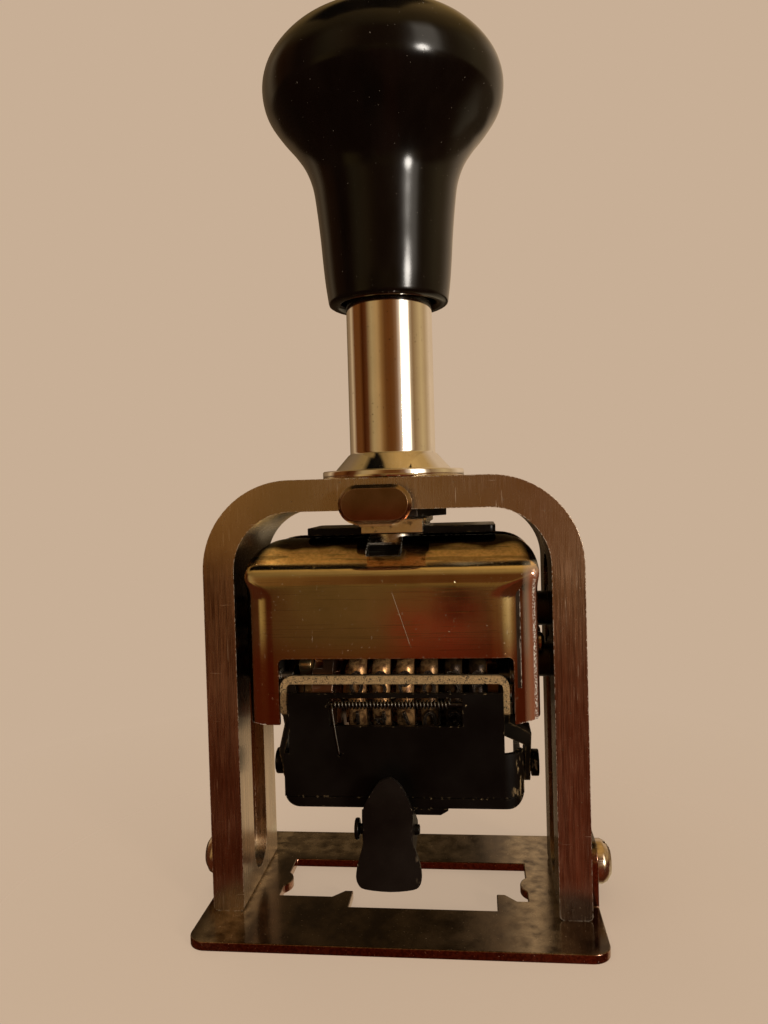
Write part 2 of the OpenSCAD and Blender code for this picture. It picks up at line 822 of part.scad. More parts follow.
// Ink pad holder: a shallow box with rounded lower corners and a notch for each stud
module pad_holder() {
    low_r = 2.4;
    side_z = tray_low_z + low_r;
    color("#191716")
    difference() {
        intersection() {
            translate([0, 0, tray_low_z]) linear_extrude(lip_h) tray_plan(0);
            slab_y(-20, 10) polygon(concat(
                [[tray_x.x, side_z + 1]],
                arc([tray_x.x + low_r, side_z], low_r, 180, 270),
                arc([tray_x.y - low_r, side_z], low_r, 270, 360),
                [[tray_x.y, side_z + 1]]
            ));
        }
        block([tray_x.x + 1, tray_front_y + 1.2, tray_low_z + 1], [tray_x.y - 1, 3.2, 30]);
        bar_x(-30, 30, stud_pivot, 1.5);
    }
}

module felt_pad() {
    color("#151328") block([-15.4, -12, tray_low_z + 1], [17.4, 3, 25.1]);
}

// Shoulder studs that the tray turns on in the arms of the bail
module tray_studs() {
    color("#26221e") {
        bar_x(arm_x.x - 0.4, tray_x.x + 0.8, stud_pivot, 1.44);
        bar_x(arm_x.x + bail_t + 0.2, tray_x.x, stud_pivot, 2.5);
        bar_x(arm_x.x - 1.6, arm_x.x - 0.25, stud_pivot, 2.3);
        bar_x(tray_x.y - 0.8, arm_x.y + 0.5, stud_pivot, 1.44);
        bar_x(tray_x.y, arm_x.y - bail_t - 0.2, stud_pivot, 2.5);
        bar_x(arm_x.y + 0.25, arm_x.y + 1.6, stud_pivot, 2.3);
    }
}

module spring_rod() {
    color("#b9b4aa") bar_x(slot_x.x - 0.9, slot_x.y + 0.9, spring_yz, 0.4);
}

// Torsion spring of the tray: a leg hooked into the front face, a close coil and a short back leg
tray_wire_r = 0.17;
tray_coil_r = 0.72;
tray_turns = 23.5;
tray_coil_x = [-9.35, 9.4];
tray_leg_x = -8.3;
tray_coil = [
    for (i = [0 : 8 * tray_turns])
        let (a = 180 + 45 * i)
        [tray_coil_x.x + (tray_coil_x.y - tray_coil_x.x) * i / (8 * tray_turns),
            spring_yz.x + tray_coil_r * cos(a), spring_yz.y + tray_coil_r * sin(a)]
];
tray_leg_y = spring_yz.x - tray_coil_r;
tray_back_y = spring_yz.x + tray_coil_r;
tray_spring_path = concat(
    [[tray_leg_x, -15.3, 29.7], [tray_leg_x, -15.7, 29.7], [tray_leg_x, -16.1, 29.72],
        [tray_leg_x - 0.02, -16.3, 29.9], [tray_leg_x - 0.2, -16.32, 31],
        [tray_leg_x - 0.65, -16.3, 34], [tray_leg_x - 0.98, tray_leg_y, 36.8]],
    tray_coil,
    [[tray_coil_x.y + 0.1, tray_back_y, 38.3], [tray_coil_x.y + 0.1, tray_back_y, 38.8],
        [tray_coil_x.y + 0.1, tray_back_y, 39.2]]
);

module tray_spring() {
    color("#a7a49c") wire(tray_spring_path, tray_wire_r, [1, 0, 0]);
}

// Clevis under the tray that carries the paddle's pin
module paddle_bracket() {
    low_z = tray_low_z - 1;
    color("#221f1c")
    difference() {
        union() {
            slab_y(-16.2, -12) polygon([
                [-3.6, low_z], [7.6, low_z], [8.8, tray_low_z - 0.3], [8.8, tray_low_z],
                [-3.6, tray_low_z]
            ]);
            for (x = [-3.6, 2]) slab_x(x, x + 0.7)
                strip(paddle_pivot, [-15.5, tray_low_z - 1.4], 1.2);
        }
        bar_x(-8, 8, paddle_pivot, 0.82);
    }
}

module paddle_pin() {
    color("#1d1a18") {
        bar_x(-5.75, 4.4, paddle_pivot, 0.8);
        bar_x(-5.75, -5.05, paddle_pivot, 1.65);
    }
}

paddle_wire_r = 0.2;
paddle_coil_x = [-2.6, 1.4];
paddle_spring_turns = 4.25;
paddle_spring_path = concat(
    [[paddle_coil_x.x, paddle_pivot.x - 1.15, paddle_pivot.y + 3.4],
        [paddle_coil_x.x, paddle_pivot.x - 1.15, paddle_pivot.y + 0.9]],
    [for (i = [0 : 8 * paddle_spring_turns])
        let (a = 180 + 45 * i)
        [paddle_coil_x.x + (paddle_coil_x.y - paddle_coil_x.x) * i / (8 * paddle_spring_turns),
            paddle_pivot.x + 1.15 * cos(a), paddle_pivot.y + 1.15 * sin(a)]],
    [[paddle_coil_x.y, paddle_pivot.x + 0.9, paddle_pivot.y - 1.15],
        [paddle_coil_x.y, paddle_pivot.x + 2.6, paddle_pivot.y - 1.15]]
);

module paddle_spring() {
    color("#a7a49c") wire(paddle_spring_path, paddle_wire_r, [1, 0, 0]);
}

// Spade-shaped release lever: a leaf with a waist, and two flanges folded back to its pin
leaf_stations = [
    [0.7, 27.5], [2.1, 26.4], [3.2, 24.4], [4, 22], [3.75, 19.6], [3.65, 18], [4.25, 16.2],
    [4.85, 14.2], [5.1, 12.2], [4.75, 10.9], [3.7, 10.2], [0.2, 9.8], [-3.7, 10.1],
    [-4.75, 10.8], [-5.1, 12.1], [-4.75, 14.2], [-4.15, 16.2], [-3.7, 18], [-3.7, 19.6],
    [-3.9, 22], [-2.8, 24.4], [-1.1, 26.8]
];

module paddle() {
    face_y = -20.4;
    back_y = -16.9;
    color("#2b2824")
    difference() {
        union() {
            slab_y(face_y, face_y + 0.8) translate([paddle_x, 0])
                polygon(curve(concat(leaf_stations, [leaf_stations[0]]), 3));
            for (side = [-1, 1]) intersection() {
                translate([paddle_x, 0, 10]) linear_extrude(20) polygon([
                    [side * 3.15, face_y + 0.1], [side * 3.85, face_y + 0.1],
                    [side * 4.45, back_y], [side * 3.75, back_y]
                ]);
                slab_x(-10, 10) polygon([
                    [face_y + 0.1, 22.4], [face_y + 1.6, 22], [back_y, 19.7], [back_y, 17.9],
                    [face_y + 1.6, 15.2], [face_y + 0.1, 15]
                ]);
            }
        }
        bar_x(-8, 8, paddle_pivot, 0.86);
    }
}

echo(tray_spring_gap = least_gap(tray_coil, tray_wire_r));
echo(main_spring_gap = least_gap(main_spring_path, main_spring_wire_r));
echo(paddle_spring_gap = least_gap(paddle_spring_path, paddle_wire_r));

outer_frame();
base_plate();
base_screws();
guide_sleeve();
sleeve_nut();
lock_screws();
lock_slide();
knob();
plunger_rod();
rod_nut();
main_spring();
buffer_plate();
carriage_frame();
front_cover();
rear_cover();
cover_screws();
guide_studs();
wheel_shaft();
wheel_spacers();
rear_bar();
detent_bar();
detent_springs();
bail_pins();
number_wheel(1);  // number_wheel_1
number_wheel(2);  // number_wheel_2
number_wheel(3);  // number_wheel_3
number_wheel(4);  // number_wheel_4
number_wheel(5);  // number_wheel_5
number_wheel(6);  // number_wheel_6
repeat_wheel();
selector_lever();
rocker_arm_left();
rocker_arm_right();
pawl_shaft();
feed_pawl();
pad_bail();
pad_carrier();
pad_holder();
felt_pad();
tray_studs();
spring_rod();
tray_spring();
paddle_bracket();
paddle_pin();
paddle_spring();
paddle();
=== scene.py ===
"""Desk numbering machine: black knob on a chrome sleeve, arched metal frame, six number wheels behind a
worn cover, and a sprung ink tray in front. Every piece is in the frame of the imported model, in metres."""

import json
from math import cos, pi, radians, sin

import bmesh
import bpy
import numpy as np
from mathutils import Matrix, Vector, noise


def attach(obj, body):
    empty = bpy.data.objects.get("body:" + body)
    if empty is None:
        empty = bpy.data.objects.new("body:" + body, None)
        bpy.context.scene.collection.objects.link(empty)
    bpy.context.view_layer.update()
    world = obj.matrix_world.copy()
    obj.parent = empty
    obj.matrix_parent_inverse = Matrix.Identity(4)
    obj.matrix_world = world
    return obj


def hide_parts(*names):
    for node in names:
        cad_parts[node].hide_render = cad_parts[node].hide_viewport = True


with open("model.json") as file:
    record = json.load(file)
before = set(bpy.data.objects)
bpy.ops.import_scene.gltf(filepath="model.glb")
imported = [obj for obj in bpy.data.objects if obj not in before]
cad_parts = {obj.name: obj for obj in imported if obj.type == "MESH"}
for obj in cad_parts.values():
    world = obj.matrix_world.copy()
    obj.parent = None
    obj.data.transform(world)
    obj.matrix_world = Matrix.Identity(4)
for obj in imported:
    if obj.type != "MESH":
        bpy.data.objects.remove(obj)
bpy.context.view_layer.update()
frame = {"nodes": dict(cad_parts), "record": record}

MM = 0.001
scene = bpy.context.scene
nodes = frame["nodes"]
bodies = frame["record"]["behaviour"]["bodies"]
body_of = {n: b for b, names in bodies.items() for n in names}


# Materials

class Finish:
    """A material that is built up node by node. Sizes are in millimetres in the frame of the model."""

    def __init__(self, name):
        self.material = bpy.data.materials.new(name)
        self.material.use_nodes = True
        self.tree = self.material.node_tree
        self.tree.nodes.clear()
        self.place = self.add("TexCoord").outputs["Object"]

    def add(self, kind, inputs=None, **settings):
        node = self.tree.nodes.new("ShaderNode" + kind)
        for key, value in settings.items():
            setattr(node, key, value)
        for key, value in (inputs or {}).items():
            self.put(node.inputs[key], value)
        return node

    def put(self, socket, value):
        if isinstance(value, bpy.types.NodeSocket):
            self.tree.links.new(value, socket)
        else:
            socket.default_value = value

    def math(self, operation, a, b=0.0):
        node = self.add("Math", {0: a, 1: b}, operation=operation)
        return node.outputs[0]

    def plus(self, a, b):
        return self.math("ADD", a, b)

    def times(self, first, *others):
        for other in others:
            first = self.math("MULTIPLY", first, other)
        return first

    def most(self, a, b):
        return self.math("MAXIMUM", a, b)

    def apart(self, value, at=0.0):
        """How far the value is from a number, on either side."""
        return self.math("ABSOLUTE", self.math("SUBTRACT", value, at))

    def span(self, value, low, high, to_low=0.0, to_high=1.0):
        """Value from low to high, turned into to_low to to_high and held there outside."""
        node = self.add("MapRange", {0: value, 1: low, 2: high, 3: to_low, 4: to_high})
        return node.outputs[0]

    def along(self, axis):
        """Place on one axis, in millimetres."""
        split = self.add("SeparateXYZ", {0: self.place})
        return self.times(split.outputs[axis], 1 / MM)

    def facing(self, axis):
        """Part of the surface's normal that points along one axis."""
        normal = self.add("NewGeometry").outputs["Normal"]
        return self.add("SeparateXYZ", {0: normal}).outputs[axis]

    def noise(self, size, stretch=(1, 1, 1), detail=3.0, turn=(0, 0, 0), rough=0.55):
        """Noise with blotches of that size; a stretch under 1 draws it out along that axis."""
        at = self.add("Mapping", {"Vector": self.place, "Rotation": turn, "Scale": stretch})
        node = self.add("TexNoise", {"Vector": at.outputs[0], "Scale": 1 / (size * MM),
                                     "Detail": detail, "Roughness": rough})
        return node.outputs[0]

    def mix(self, share, a, b):
        node = self.add("Mix", {0: share, 6: a, 7: b}, data_type="RGBA")
        return node.outputs[2]

    def shade(self, colour, amount):
        grey = self.add("CombineColor", {0: amount, 1: amount, 2: amount}).outputs[0]
        node = self.add("Mix", {0: 1.0, 6: colour, 7: grey}, data_type="RGBA", blend_type="MULTIPLY")
        return node.outputs[2]

    def blend(self, share, a, b):
        node = self.add("Mix", {0: share, 2: a, 3: b})
        return node.outputs[0]

    def edges(self, radius, low=0.02, high=0.2):
        """1 along edges of the shape and 0 on its flats."""
        soft = self.add("Bevel", {"Radius": radius * MM}, samples=6).outputs[0]
        true = self.add("NewGeometry").outputs["Normal"]
        same = self.add("VectorMath", {0: soft, 1: true}, operation="DOT_PRODUCT")
        return self.span(same.outputs["Value"], 1 - low, 1 - high)

    def bump(self, height, depth, under=None):
        inputs = {"Height": height, "Distance": depth * MM, "Strength": 1.0}
        if under is not None:
            inputs["Normal"] = under
        return self.add("Bump", inputs).outputs[0]

    def done(self, **inputs):
        inputs = {k.replace("_", " "): v for k, v in inputs.items()}
        shader = self.add("BsdfPrincipled", inputs)
        out = self.add("OutputMaterial")
        self.tree.links.new(shader.outputs[0], out.inputs[0])
        return self.material


def rgb(r, g, b):
    return (r, g, b, 1.0)


def tone(colour, share):
    """The same colour, darker or lighter."""
    return rgb(*(share * c for c in colour[:3]))


# Stretch of noise for brush lines that run along one axis
ALONG_X = (0.02, 1, 1)
ALONG_Z = (1, 1, 0.02)

BARE_METAL = rgb(0.92, 0.86, 0.74)
NICKEL = rgb(0.60, 0.44, 0.30)
NICKEL_DARK = rgb(0.44, 0.31, 0.20)

# Heights where the frame's legs turn into its crossbar and where the lock button begins
ARCH_Z = 63
BUTTON_LOW = 67

# Form of the covers: half width, depth in front of the middle, top, the fold between face and roof,
# depth of the roof's upper edge, corner radii, lower edge, softness of the shoulders and bow of the roof
COVER = {"x": 24.2, "y": 14.0, "top": 64.2, "fold_z": 58.1, "roof_y": 5.0, "left_r": 4.4, "right_r": 8.0,
         "arch_r": 7.9, "fold_r": 1.2, "low": 26.0, "soft": 1.4, "bulge": 0.6}


def brushed(name, light, dark, rough, lines=ALONG_Z, grain=0.003, contrast=0.10, arch=False):
    """Worn plated steel: fine brush lines, tints, dark pits, scratches and bright worn edges."""
    f = Finish(name)
    tint = f.noise(14, detail=4)
    brush = f.noise(0.10, lines, detail=2)
    broad = f.noise(0.5, lines, detail=2)
    lined = f.plus(brush, broad)
    colour = f.mix(f.span(tint, 0.35, 0.65), dark, light)
    colour = f.shade(colour, f.span(lined, 0.8, 1.2, 1 - contrast, 1 + contrast / 2))
    metallic = 1.0
    # On the frame, painted reflections and painted shade are added.
    if arch:
        colour, metallic = arch_tints_and_painted_light(f, colour, tint, broad)
    pits = f.times(f.span(f.noise(0.5, detail=4), 0.66, 0.72), 0.5)
    colour = f.mix(pits, colour, rgb(0.04, 0.022, 0.012))
    upright = f.span(f.noise(0.35, (1, 1, 0.04), 2, (0, 0.7, 0)), 0.70, 0.74)
    level = f.span(f.noise(0.4, (0.05, 1, 1), 2, (0, 0.35, 0)), 0.70, 0.74)
    scratches = f.times(f.most(upright, level), 0.4)
    rim = f.times(f.edges(0.3), f.span(f.noise(0.5, detail=5), 0.42, 0.58))
    bright = f.most(scratches, rim)
    colour = f.mix(bright, colour, BARE_METAL)
    roughness = f.plus(f.span(tint, 0.3, 0.7, rough * 0.8, rough * 1.25),
                       f.span(brush, 0.3, 0.7, -0.04, 0.06))
    roughness = f.plus(roughness, f.times(f.most(pits, bright), 0.3))
    normal = f.bump(f.plus(scratches, pits), -0.006, f.bump(lined, grain))
    return f.done(Base_Color=colour, Metallic=metallic, Roughness=roughness, Normal=normal)


def arch_tints_and_painted_light(f, colour, tint, broad):
    """Frame, with painted light: paler towards the feet, a golden crossbar that is a painted reflection,
    painted shade darkening the legs' inner faces, and the crossbar's underside painted pale gold and not
    metallic as painted light.
    """
    x, z = f.along(0), f.along(2)
    foot = f.times(f.span(z, 8.5, 6.5), f.span(tint, 0.3, 0.5, 0.5, 1), 0.6)
    colour = f.mix(foot, colour, rgb(0.62, 0.56, 0.44))
    # Painted reflection: the crossbar turns golden, paler at its left end and browner at its right end.
    painted_crossbar_reflection = f.mix(f.span(x, 0, 24), rgb(0.66, 0.56, 0.36), rgb(0.46, 0.31, 0.20))
    painted_crossbar_reflection = f.mix(f.span(x, -18, -27), painted_crossbar_reflection, rgb(0.80, 0.64, 0.38))
    colour = f.mix(f.span(z, ARCH_Z - 6, ARCH_Z), colour, painted_crossbar_reflection)
    # Painted shade: the inner faces of the legs are darkened above their lower part.
    inner = f.times(f.span(f.times(f.facing(0), x), -8, -16), f.span(z, 31, 37))
    colour = f.shade(colour, f.span(inner, 0, 1, 1.0, 0.22))
    # Painted light: the crossbar's underside is painted pale gold and made not metallic, so it looks lit.
    under = f.times(f.span(f.facing(2), -0.6, -0.85), f.span(z, ARCH_Z - 3, ARCH_Z + 3))
    dull = f.mix(f.span(broad, 0.4, 0.6), rgb(0.70, 0.46, 0.18), rgb(1.0, 0.74, 0.32))
    return f.mix(under, colour, dull), f.span(under, 0, 1, 1.0, 0.0)


def plate_sheet(name):
    """Base plate: dark smoky plating with glints where it is rubbed bare, and a red-brown cut edge."""
    f = Finish(name)
    x, y = f.along(0), f.along(1)
    smoke = f.noise(5, (1, 0.7, 1), 5, rough=0.6)
    grit = f.noise(0.35, detail=3)
    colour = f.mix(f.span(smoke, 0.38, 0.62), rgb(0.045, 0.030, 0.018), rgb(0.13, 0.095, 0.060))
    beside_legs = f.plus(f.span(f.apart(x, 22.5), 6, 1), f.span(f.apart(x, -28), 4.5, 2))
    at_back = f.times(f.span(y, 8.5, 12), f.span(x, 12, -6, 0.1, 0.9))
    bare = f.times(f.plus(beside_legs, at_back), f.span(f.noise(2.2, detail=5), 0.30, 0.62))
    colour = f.mix(f.times(bare, 0.8), colour, rgb(0.52, 0.44, 0.32))
    cut_edge = f.mix(f.span(grit, 0.4, 0.6), rgb(0.22, 0.10, 0.065), rgb(0.42, 0.22, 0.15))
    colour = f.mix(f.span(f.facing(2), 0.7, 0.4), colour, cut_edge)
    speck = f.span(f.noise(0.30, detail=2), 0.715, 0.74)
    rim = f.times(f.edges(0.3), f.span(f.noise(0.7, detail=5), 0.42, 0.55))
    bright = f.most(f.times(speck, 0.7), f.times(rim, 0.8))
    colour = f.mix(bright, colour, rgb(0.85, 0.76, 0.60))
    roughness = f.plus(f.span(smoke, 0.3, 0.7, 0.10, 0.22), f.times(bright, 0.3))
    roughness = f.plus(roughness, f.times(bare, 0.12))
    normal = f.bump(f.noise(7, detail=1), 0.02, f.bump(grit, 0.0025, f.bump(bright, -0.006)))
    return f.done(Base_Color=colour, Metallic=1.0, Roughness=roughness, Normal=normal)


def mirror_sheet(name):
    """Polished nickel cover: warm tints and hairlines, and painted reflections: a ruddier lower face, a
    golden roof painted black along its ridge and with dark streaks, and a ruddy right flank; dust specks,
    one long scratch and worn bright edges."""
    f = Finish(name)
    x, y, z = f.along(0), f.along(1), f.along(2)
    fold = COVER["fold_z"]
    tint = f.noise(9, detail=5, rough=0.6)
    hair = f.span(f.noise(0.16, (0.012, 1, 1), 2), 0.60, 0.70)

    colour = f.mix(f.span(tint, 0.36, 0.64), rgb(0.50, 0.43, 0.29), rgb(0.60, 0.52, 0.35))
    # Painted reflection: the face turns ruddy towards its lower part, along a wavy line.
    low = f.plus(f.times(tint, 4), f.times(z, -1))
    colour = f.mix(f.span(low, -46, -42), colour, rgb(0.52, 0.27, 0.14))
    colour = f.shade(colour, f.span(hair, 0, 1, 1.0, 0.78))
    # Painted reflection: the roof above the fold is painted golden, and black along its ridge.
    wavy = f.plus(z, f.times(f.noise(9, (1, 1, 0.3), 2), 3))
    roof = f.mix(f.span(wavy, 63.4, 64.0), rgb(0.95, 0.76, 0.46), rgb(0.06, 0.04, 0.02))
    colour = f.mix(f.span(z, fold + 0.5, fold + 1.3), colour, roof)
    # Painted reflection: dark wavy streaks across the roof.
    streaks = f.span(f.noise(1.3, (0.10, 1, 1), 3, (0, 0, 0.05)), 0.46, 0.40)
    streaks = f.times(streaks, f.span(z, fold + 0.3, fold + 1.1))
    colour = f.shade(colour, f.span(streaks, 0, 1, 1.0, 0.55))
    # Painted reflection: the right flank is painted red-brown and made less metallic.
    flank = f.times(f.span(x, 21.3, 22.6), f.span(z, fold + 1.9, fold - 0.6))
    colour = f.mix(flank, colour, rgb(0.30, 0.105, 0.05))

    dust = f.span(f.noise(0.42, detail=3), 0.705, 0.73)
    scuff = f.span(f.noise(0.30, (1, 1, 0.10), 3, (0, 0.4, 0)), 0.735, 0.75)
    across_scratch = f.apart(f.plus(f.times(x, 0.953), f.times(z, 0.303)), 17.31)
    scratch = f.times(f.span(across_scratch, 0.05, 0.02, 0, 0.45), f.span(f.apart(z, 51), 4.6, 3.8),
                      f.span(y, -13, -13.5))
    window = f.times(f.span(z, 45.8, 45.4), f.span(f.apart(x), 20.8, 20.4))
    rim = f.times(f.edges(0.35, 0.02, 0.12), f.span(f.noise(0.35, detail=4), 0.46, 0.54),
                  f.span(window, 0, 1, 1.0, 0.15))
    corner = f.times(f.span(f.apart(x, 23.3), 0.38, 0.12), f.span(f.noise(0.32, detail=3), 0.50, 0.56),
                     f.span(y, -6, -9), f.span(z, fold + 0.9, fold - 2.1))
    marks = f.most(f.times(f.most(dust, scuff), 0.35), scratch)
    bright = f.most(marks, f.most(rim, corner))
    colour = f.mix(bright, colour, rgb(0.95, 0.88, 0.74))

    metallic = f.times(f.span(bright, 0, 1, 1.0, 0.5), f.span(flank, 0, 1, 1.0, 0.2))
    roughness = f.plus(f.span(tint, 0.3, 0.7, 0.07, 0.14), f.times(bright, 0.35))
    normal = f.bump(f.noise(9, detail=1), 0.05, f.bump(bright, -0.012, f.bump(hair, 0.0008)))
    return f.done(Base_Color=colour, Metallic=metallic, Roughness=roughness, Normal=normal)


def slide_sheet(name):
    """Lock slide: a ruddy satin button with a pale rim on a silvery tongue."""
    f = Finish(name)
    z = f.along(2)
    tint = f.noise(4, detail=4)
    brush = f.noise(0.12, ALONG_Z, 2)
    ruddy = f.mix(f.span(z, BUTTON_LOW, BUTTON_LOW + 3.5), rgb(0.24, 0.075, 0.035),
                  rgb(0.26, 0.17, 0.085))
    ruddy = f.shade(ruddy, f.span(tint, 0.3, 0.7, 0.8, 1.15))
    silver = f.mix(f.span(f.noise(1.2, (1, 3, 1), 3), 0.30, 0.48), rgb(0.20, 0.15, 0.10),
                   rgb(0.92, 0.84, 0.62))
    colour = f.mix(f.span(z, BUTTON_LOW, BUTTON_LOW - 0.15), ruddy, silver)
    rim = f.times(f.edges(0.4, 0.02, 0.12), f.span(f.noise(0.6, detail=4), 0.30, 0.46))
    colour = f.mix(f.times(rim, 0.75), colour, rgb(0.88, 0.70, 0.55))
    roughness = f.plus(f.span(tint, 0.3, 0.7, 0.16, 0.24), f.span(brush, 0.3, 0.7, 0, 0.05))
    return f.done(Base_Color=colour, Metallic=1.0, Roughness=roughness, Normal=f.bump(brush, 0.001))


def chrome(name, tint=rgb(0.80, 0.76, 0.70), rough=0.045):
    """Polished chrome with faint streaks, a few pits and dull patches."""
    f = Finish(name)
    streak = f.noise(0.9, (1, 1, 0.03), 3)
    patch = f.noise(6, detail=4)
    pits = f.times(f.span(f.noise(0.45, detail=3), 0.68, 0.73), 0.7)
    colour = f.mix(f.span(patch, 0.3, 0.7, 0, 0.35), tint, tone(tint, 0.75))
    colour = f.mix(pits, colour, rgb(0.10, 0.07, 0.05))
    roughness = f.plus(f.span(patch, 0.3, 0.75, rough * 0.6, rough * 1.8),
                       f.span(streak, 0.4, 0.7, 0, 0.05))
    normal = f.bump(streak, 0.0015, f.bump(f.noise(4, detail=1), 0.012))
    return f.done(Base_Color=colour, Metallic=1.0, Roughness=roughness, Normal=normal)


def painted(name, paint, metal=rgb(0.50, 0.34, 0.16), rough=0.34, wear=0.2, edge=0.35, dust=0.2,
            shine=0.22, bare_front=None, bare_side=None):
    """Black paint, dusty and scratched, worn through along its edges and, if asked, in front of a
    depth or to the right of a width."""
    f = Finish(name)
    blotch = f.noise(0.7, detail=6, rough=0.65)
    wide = f.noise(9, detail=4)
    grit = f.noise(0.14, detail=3)
    rim = f.times(f.edges(edge, 0.01, 0.16), f.span(blotch, 0.66 - 0.3 * wear, 0.70 - 0.2 * wear))
    chip = f.span(f.noise(0.6, detail=6, rough=0.7), 0.80 - 0.06 * wear, 0.82 - 0.06 * wear)
    bare = f.math("MINIMUM", f.plus(rim, chip), 1.0)
    if bare_front is not None:
        front = f.times(f.span(f.along(1), bare_front + 0.12, bare_front - 0.12),
                        f.span(f.plus(blotch, f.noise(0.2, detail=3)), 0.80, 0.96))
        bare = f.most(bare, front)
    if bare_side is not None:
        side = f.times(f.span(f.along(0), bare_side, bare_side + 1.2),
                       f.span(f.noise(0.9, (1, 1, 0.35), 5), 0.58, 0.66), 0.7)
        bare = f.most(bare, side)
    coat = f.mix(f.span(wide, 0.35, 0.65), paint, tone(paint, 2.2))
    dusty = f.times(f.span(f.noise(0.25, detail=3), 0.66, 0.78), dust)
    coat = f.mix(dusty, coat, rgb(0.10, 0.07, 0.045))
    worn = f.mix(f.span(grit, 0.40, 0.60), tone(metal, 0.5), metal)
    roughness = f.blend(bare, f.span(wide, 0.3, 0.7, rough * 0.8, rough * 1.3), 0.5)
    normal = f.bump(grit, 0.01, f.bump(bare, -0.03, f.bump(f.noise(0.4, detail=4), 0.006)))
    return f.done(Base_Color=f.mix(bare, coat, worn), Metallic=f.times(bare, 0.45),
                  Roughness=roughness, Normal=normal, Specular_IOR_Level=shine)


def bakelite(name):
    """Polished black moulding with faint swirls, fine scratches and specks of dust."""
    f = Finish(name)
    swirl = f.noise(5, (1, 1, 0.4), 5)
    dust = f.span(f.noise(0.45, detail=2), 0.745, 0.765)
    hair = f.span(f.noise(0.5, (1, 1, 0.06), 2, (0.3, 0.4, 0)), 0.73, 0.76)
    colour = f.mix(f.span(swirl, 0.35, 0.7), rgb(0.0022, 0.0014, 0.0008), rgb(0.0045, 0.0028, 0.0016))
    colour = f.mix(f.times(dust, 0.5), colour, rgb(0.30, 0.24, 0.18))
    roughness = f.plus(f.span(swirl, 0.3, 0.7, 0.12, 0.20), f.times(dust, 0.4))
    roughness = f.plus(roughness, f.times(hair, 0.12))
    normal = f.bump(f.noise(8, detail=2), 0.02, f.bump(f.plus(dust, hair), 0.004))
    return f.done(Base_Color=colour, Roughness=roughness, Normal=normal, Specular_IOR_Level=0.23)


def felt(name):
    """Ink-soaked felt: matted fibres with a dull sheen where the ink has dried."""
    f = Finish(name)
    fibre = f.plus(f.noise(0.22, (1, 0.3, 1), 3, (0, 0, 0.6)), f.noise(0.2, (0.3, 1, 1), 3, (0, 0, 0.2)))
    patch = f.noise(3.5, detail=4)
    colour = f.mix(f.span(patch, 0.35, 0.65), rgb(0.010, 0.008, 0.022), rgb(0.030, 0.022, 0.048))
    colour = f.mix(f.span(fibre, 0.95, 1.25, 0, 0.5), colour, rgb(0.06, 0.05, 0.08))
    roughness = f.span(patch, 0.3, 0.7, 0.62, 0.95)
    return f.done(Base_Color=colour, Roughness=roughness, Normal=f.bump(fibre, 0.09), Sheen_Weight=0.25)


def type_ground(name):
    """Bronze ground of the number wheels, brighter in patches and darker towards the right wheels."""
    f = Finish(name)
    grime = f.noise(0.9, detail=5)
    grain = f.noise(0.2, detail=3)
    colour = f.mix(f.span(grime, 0.38, 0.60), rgb(0.14, 0.062, 0.022), rgb(0.66, 0.36, 0.14))
    rim = f.times(f.edges(0.15, 0.02, 0.2), f.span(grain, 0.4, 0.5), 0.8)
    colour = f.mix(rim, colour, rgb(0.85, 0.72, 0.52))
    colour = f.shade(colour, f.span(f.along(0), 2.5, 9, 1.0, 0.12))
    return f.done(Base_Color=colour, Metallic=0.6, Roughness=f.span(grime, 0.3, 0.7, 0.42, 0.24),
                  Normal=f.bump(f.plus(grime, grain), 0.02))


def type_face(name):
    """Raised digits: dried ink with glints of metal along their edges."""
    f = Finish(name)
    grain = f.noise(0.2, detail=3)
    rim = f.times(f.edges(0.10, 0.03, 0.3), f.span(grain, 0.44, 0.56), 0.9)
    colour = f.mix(f.span(grain, 0.4, 0.65), rgb(0.008, 0.005, 0.004), rgb(0.05, 0.032, 0.02))
    colour = f.mix(rim, colour, rgb(0.85, 0.68, 0.46))
    return f.done(Base_Color=colour, Metallic=0.5, Roughness=f.span(grain, 0.3, 0.7, 0.3, 0.5),
                  Normal=f.bump(grain, 0.02))


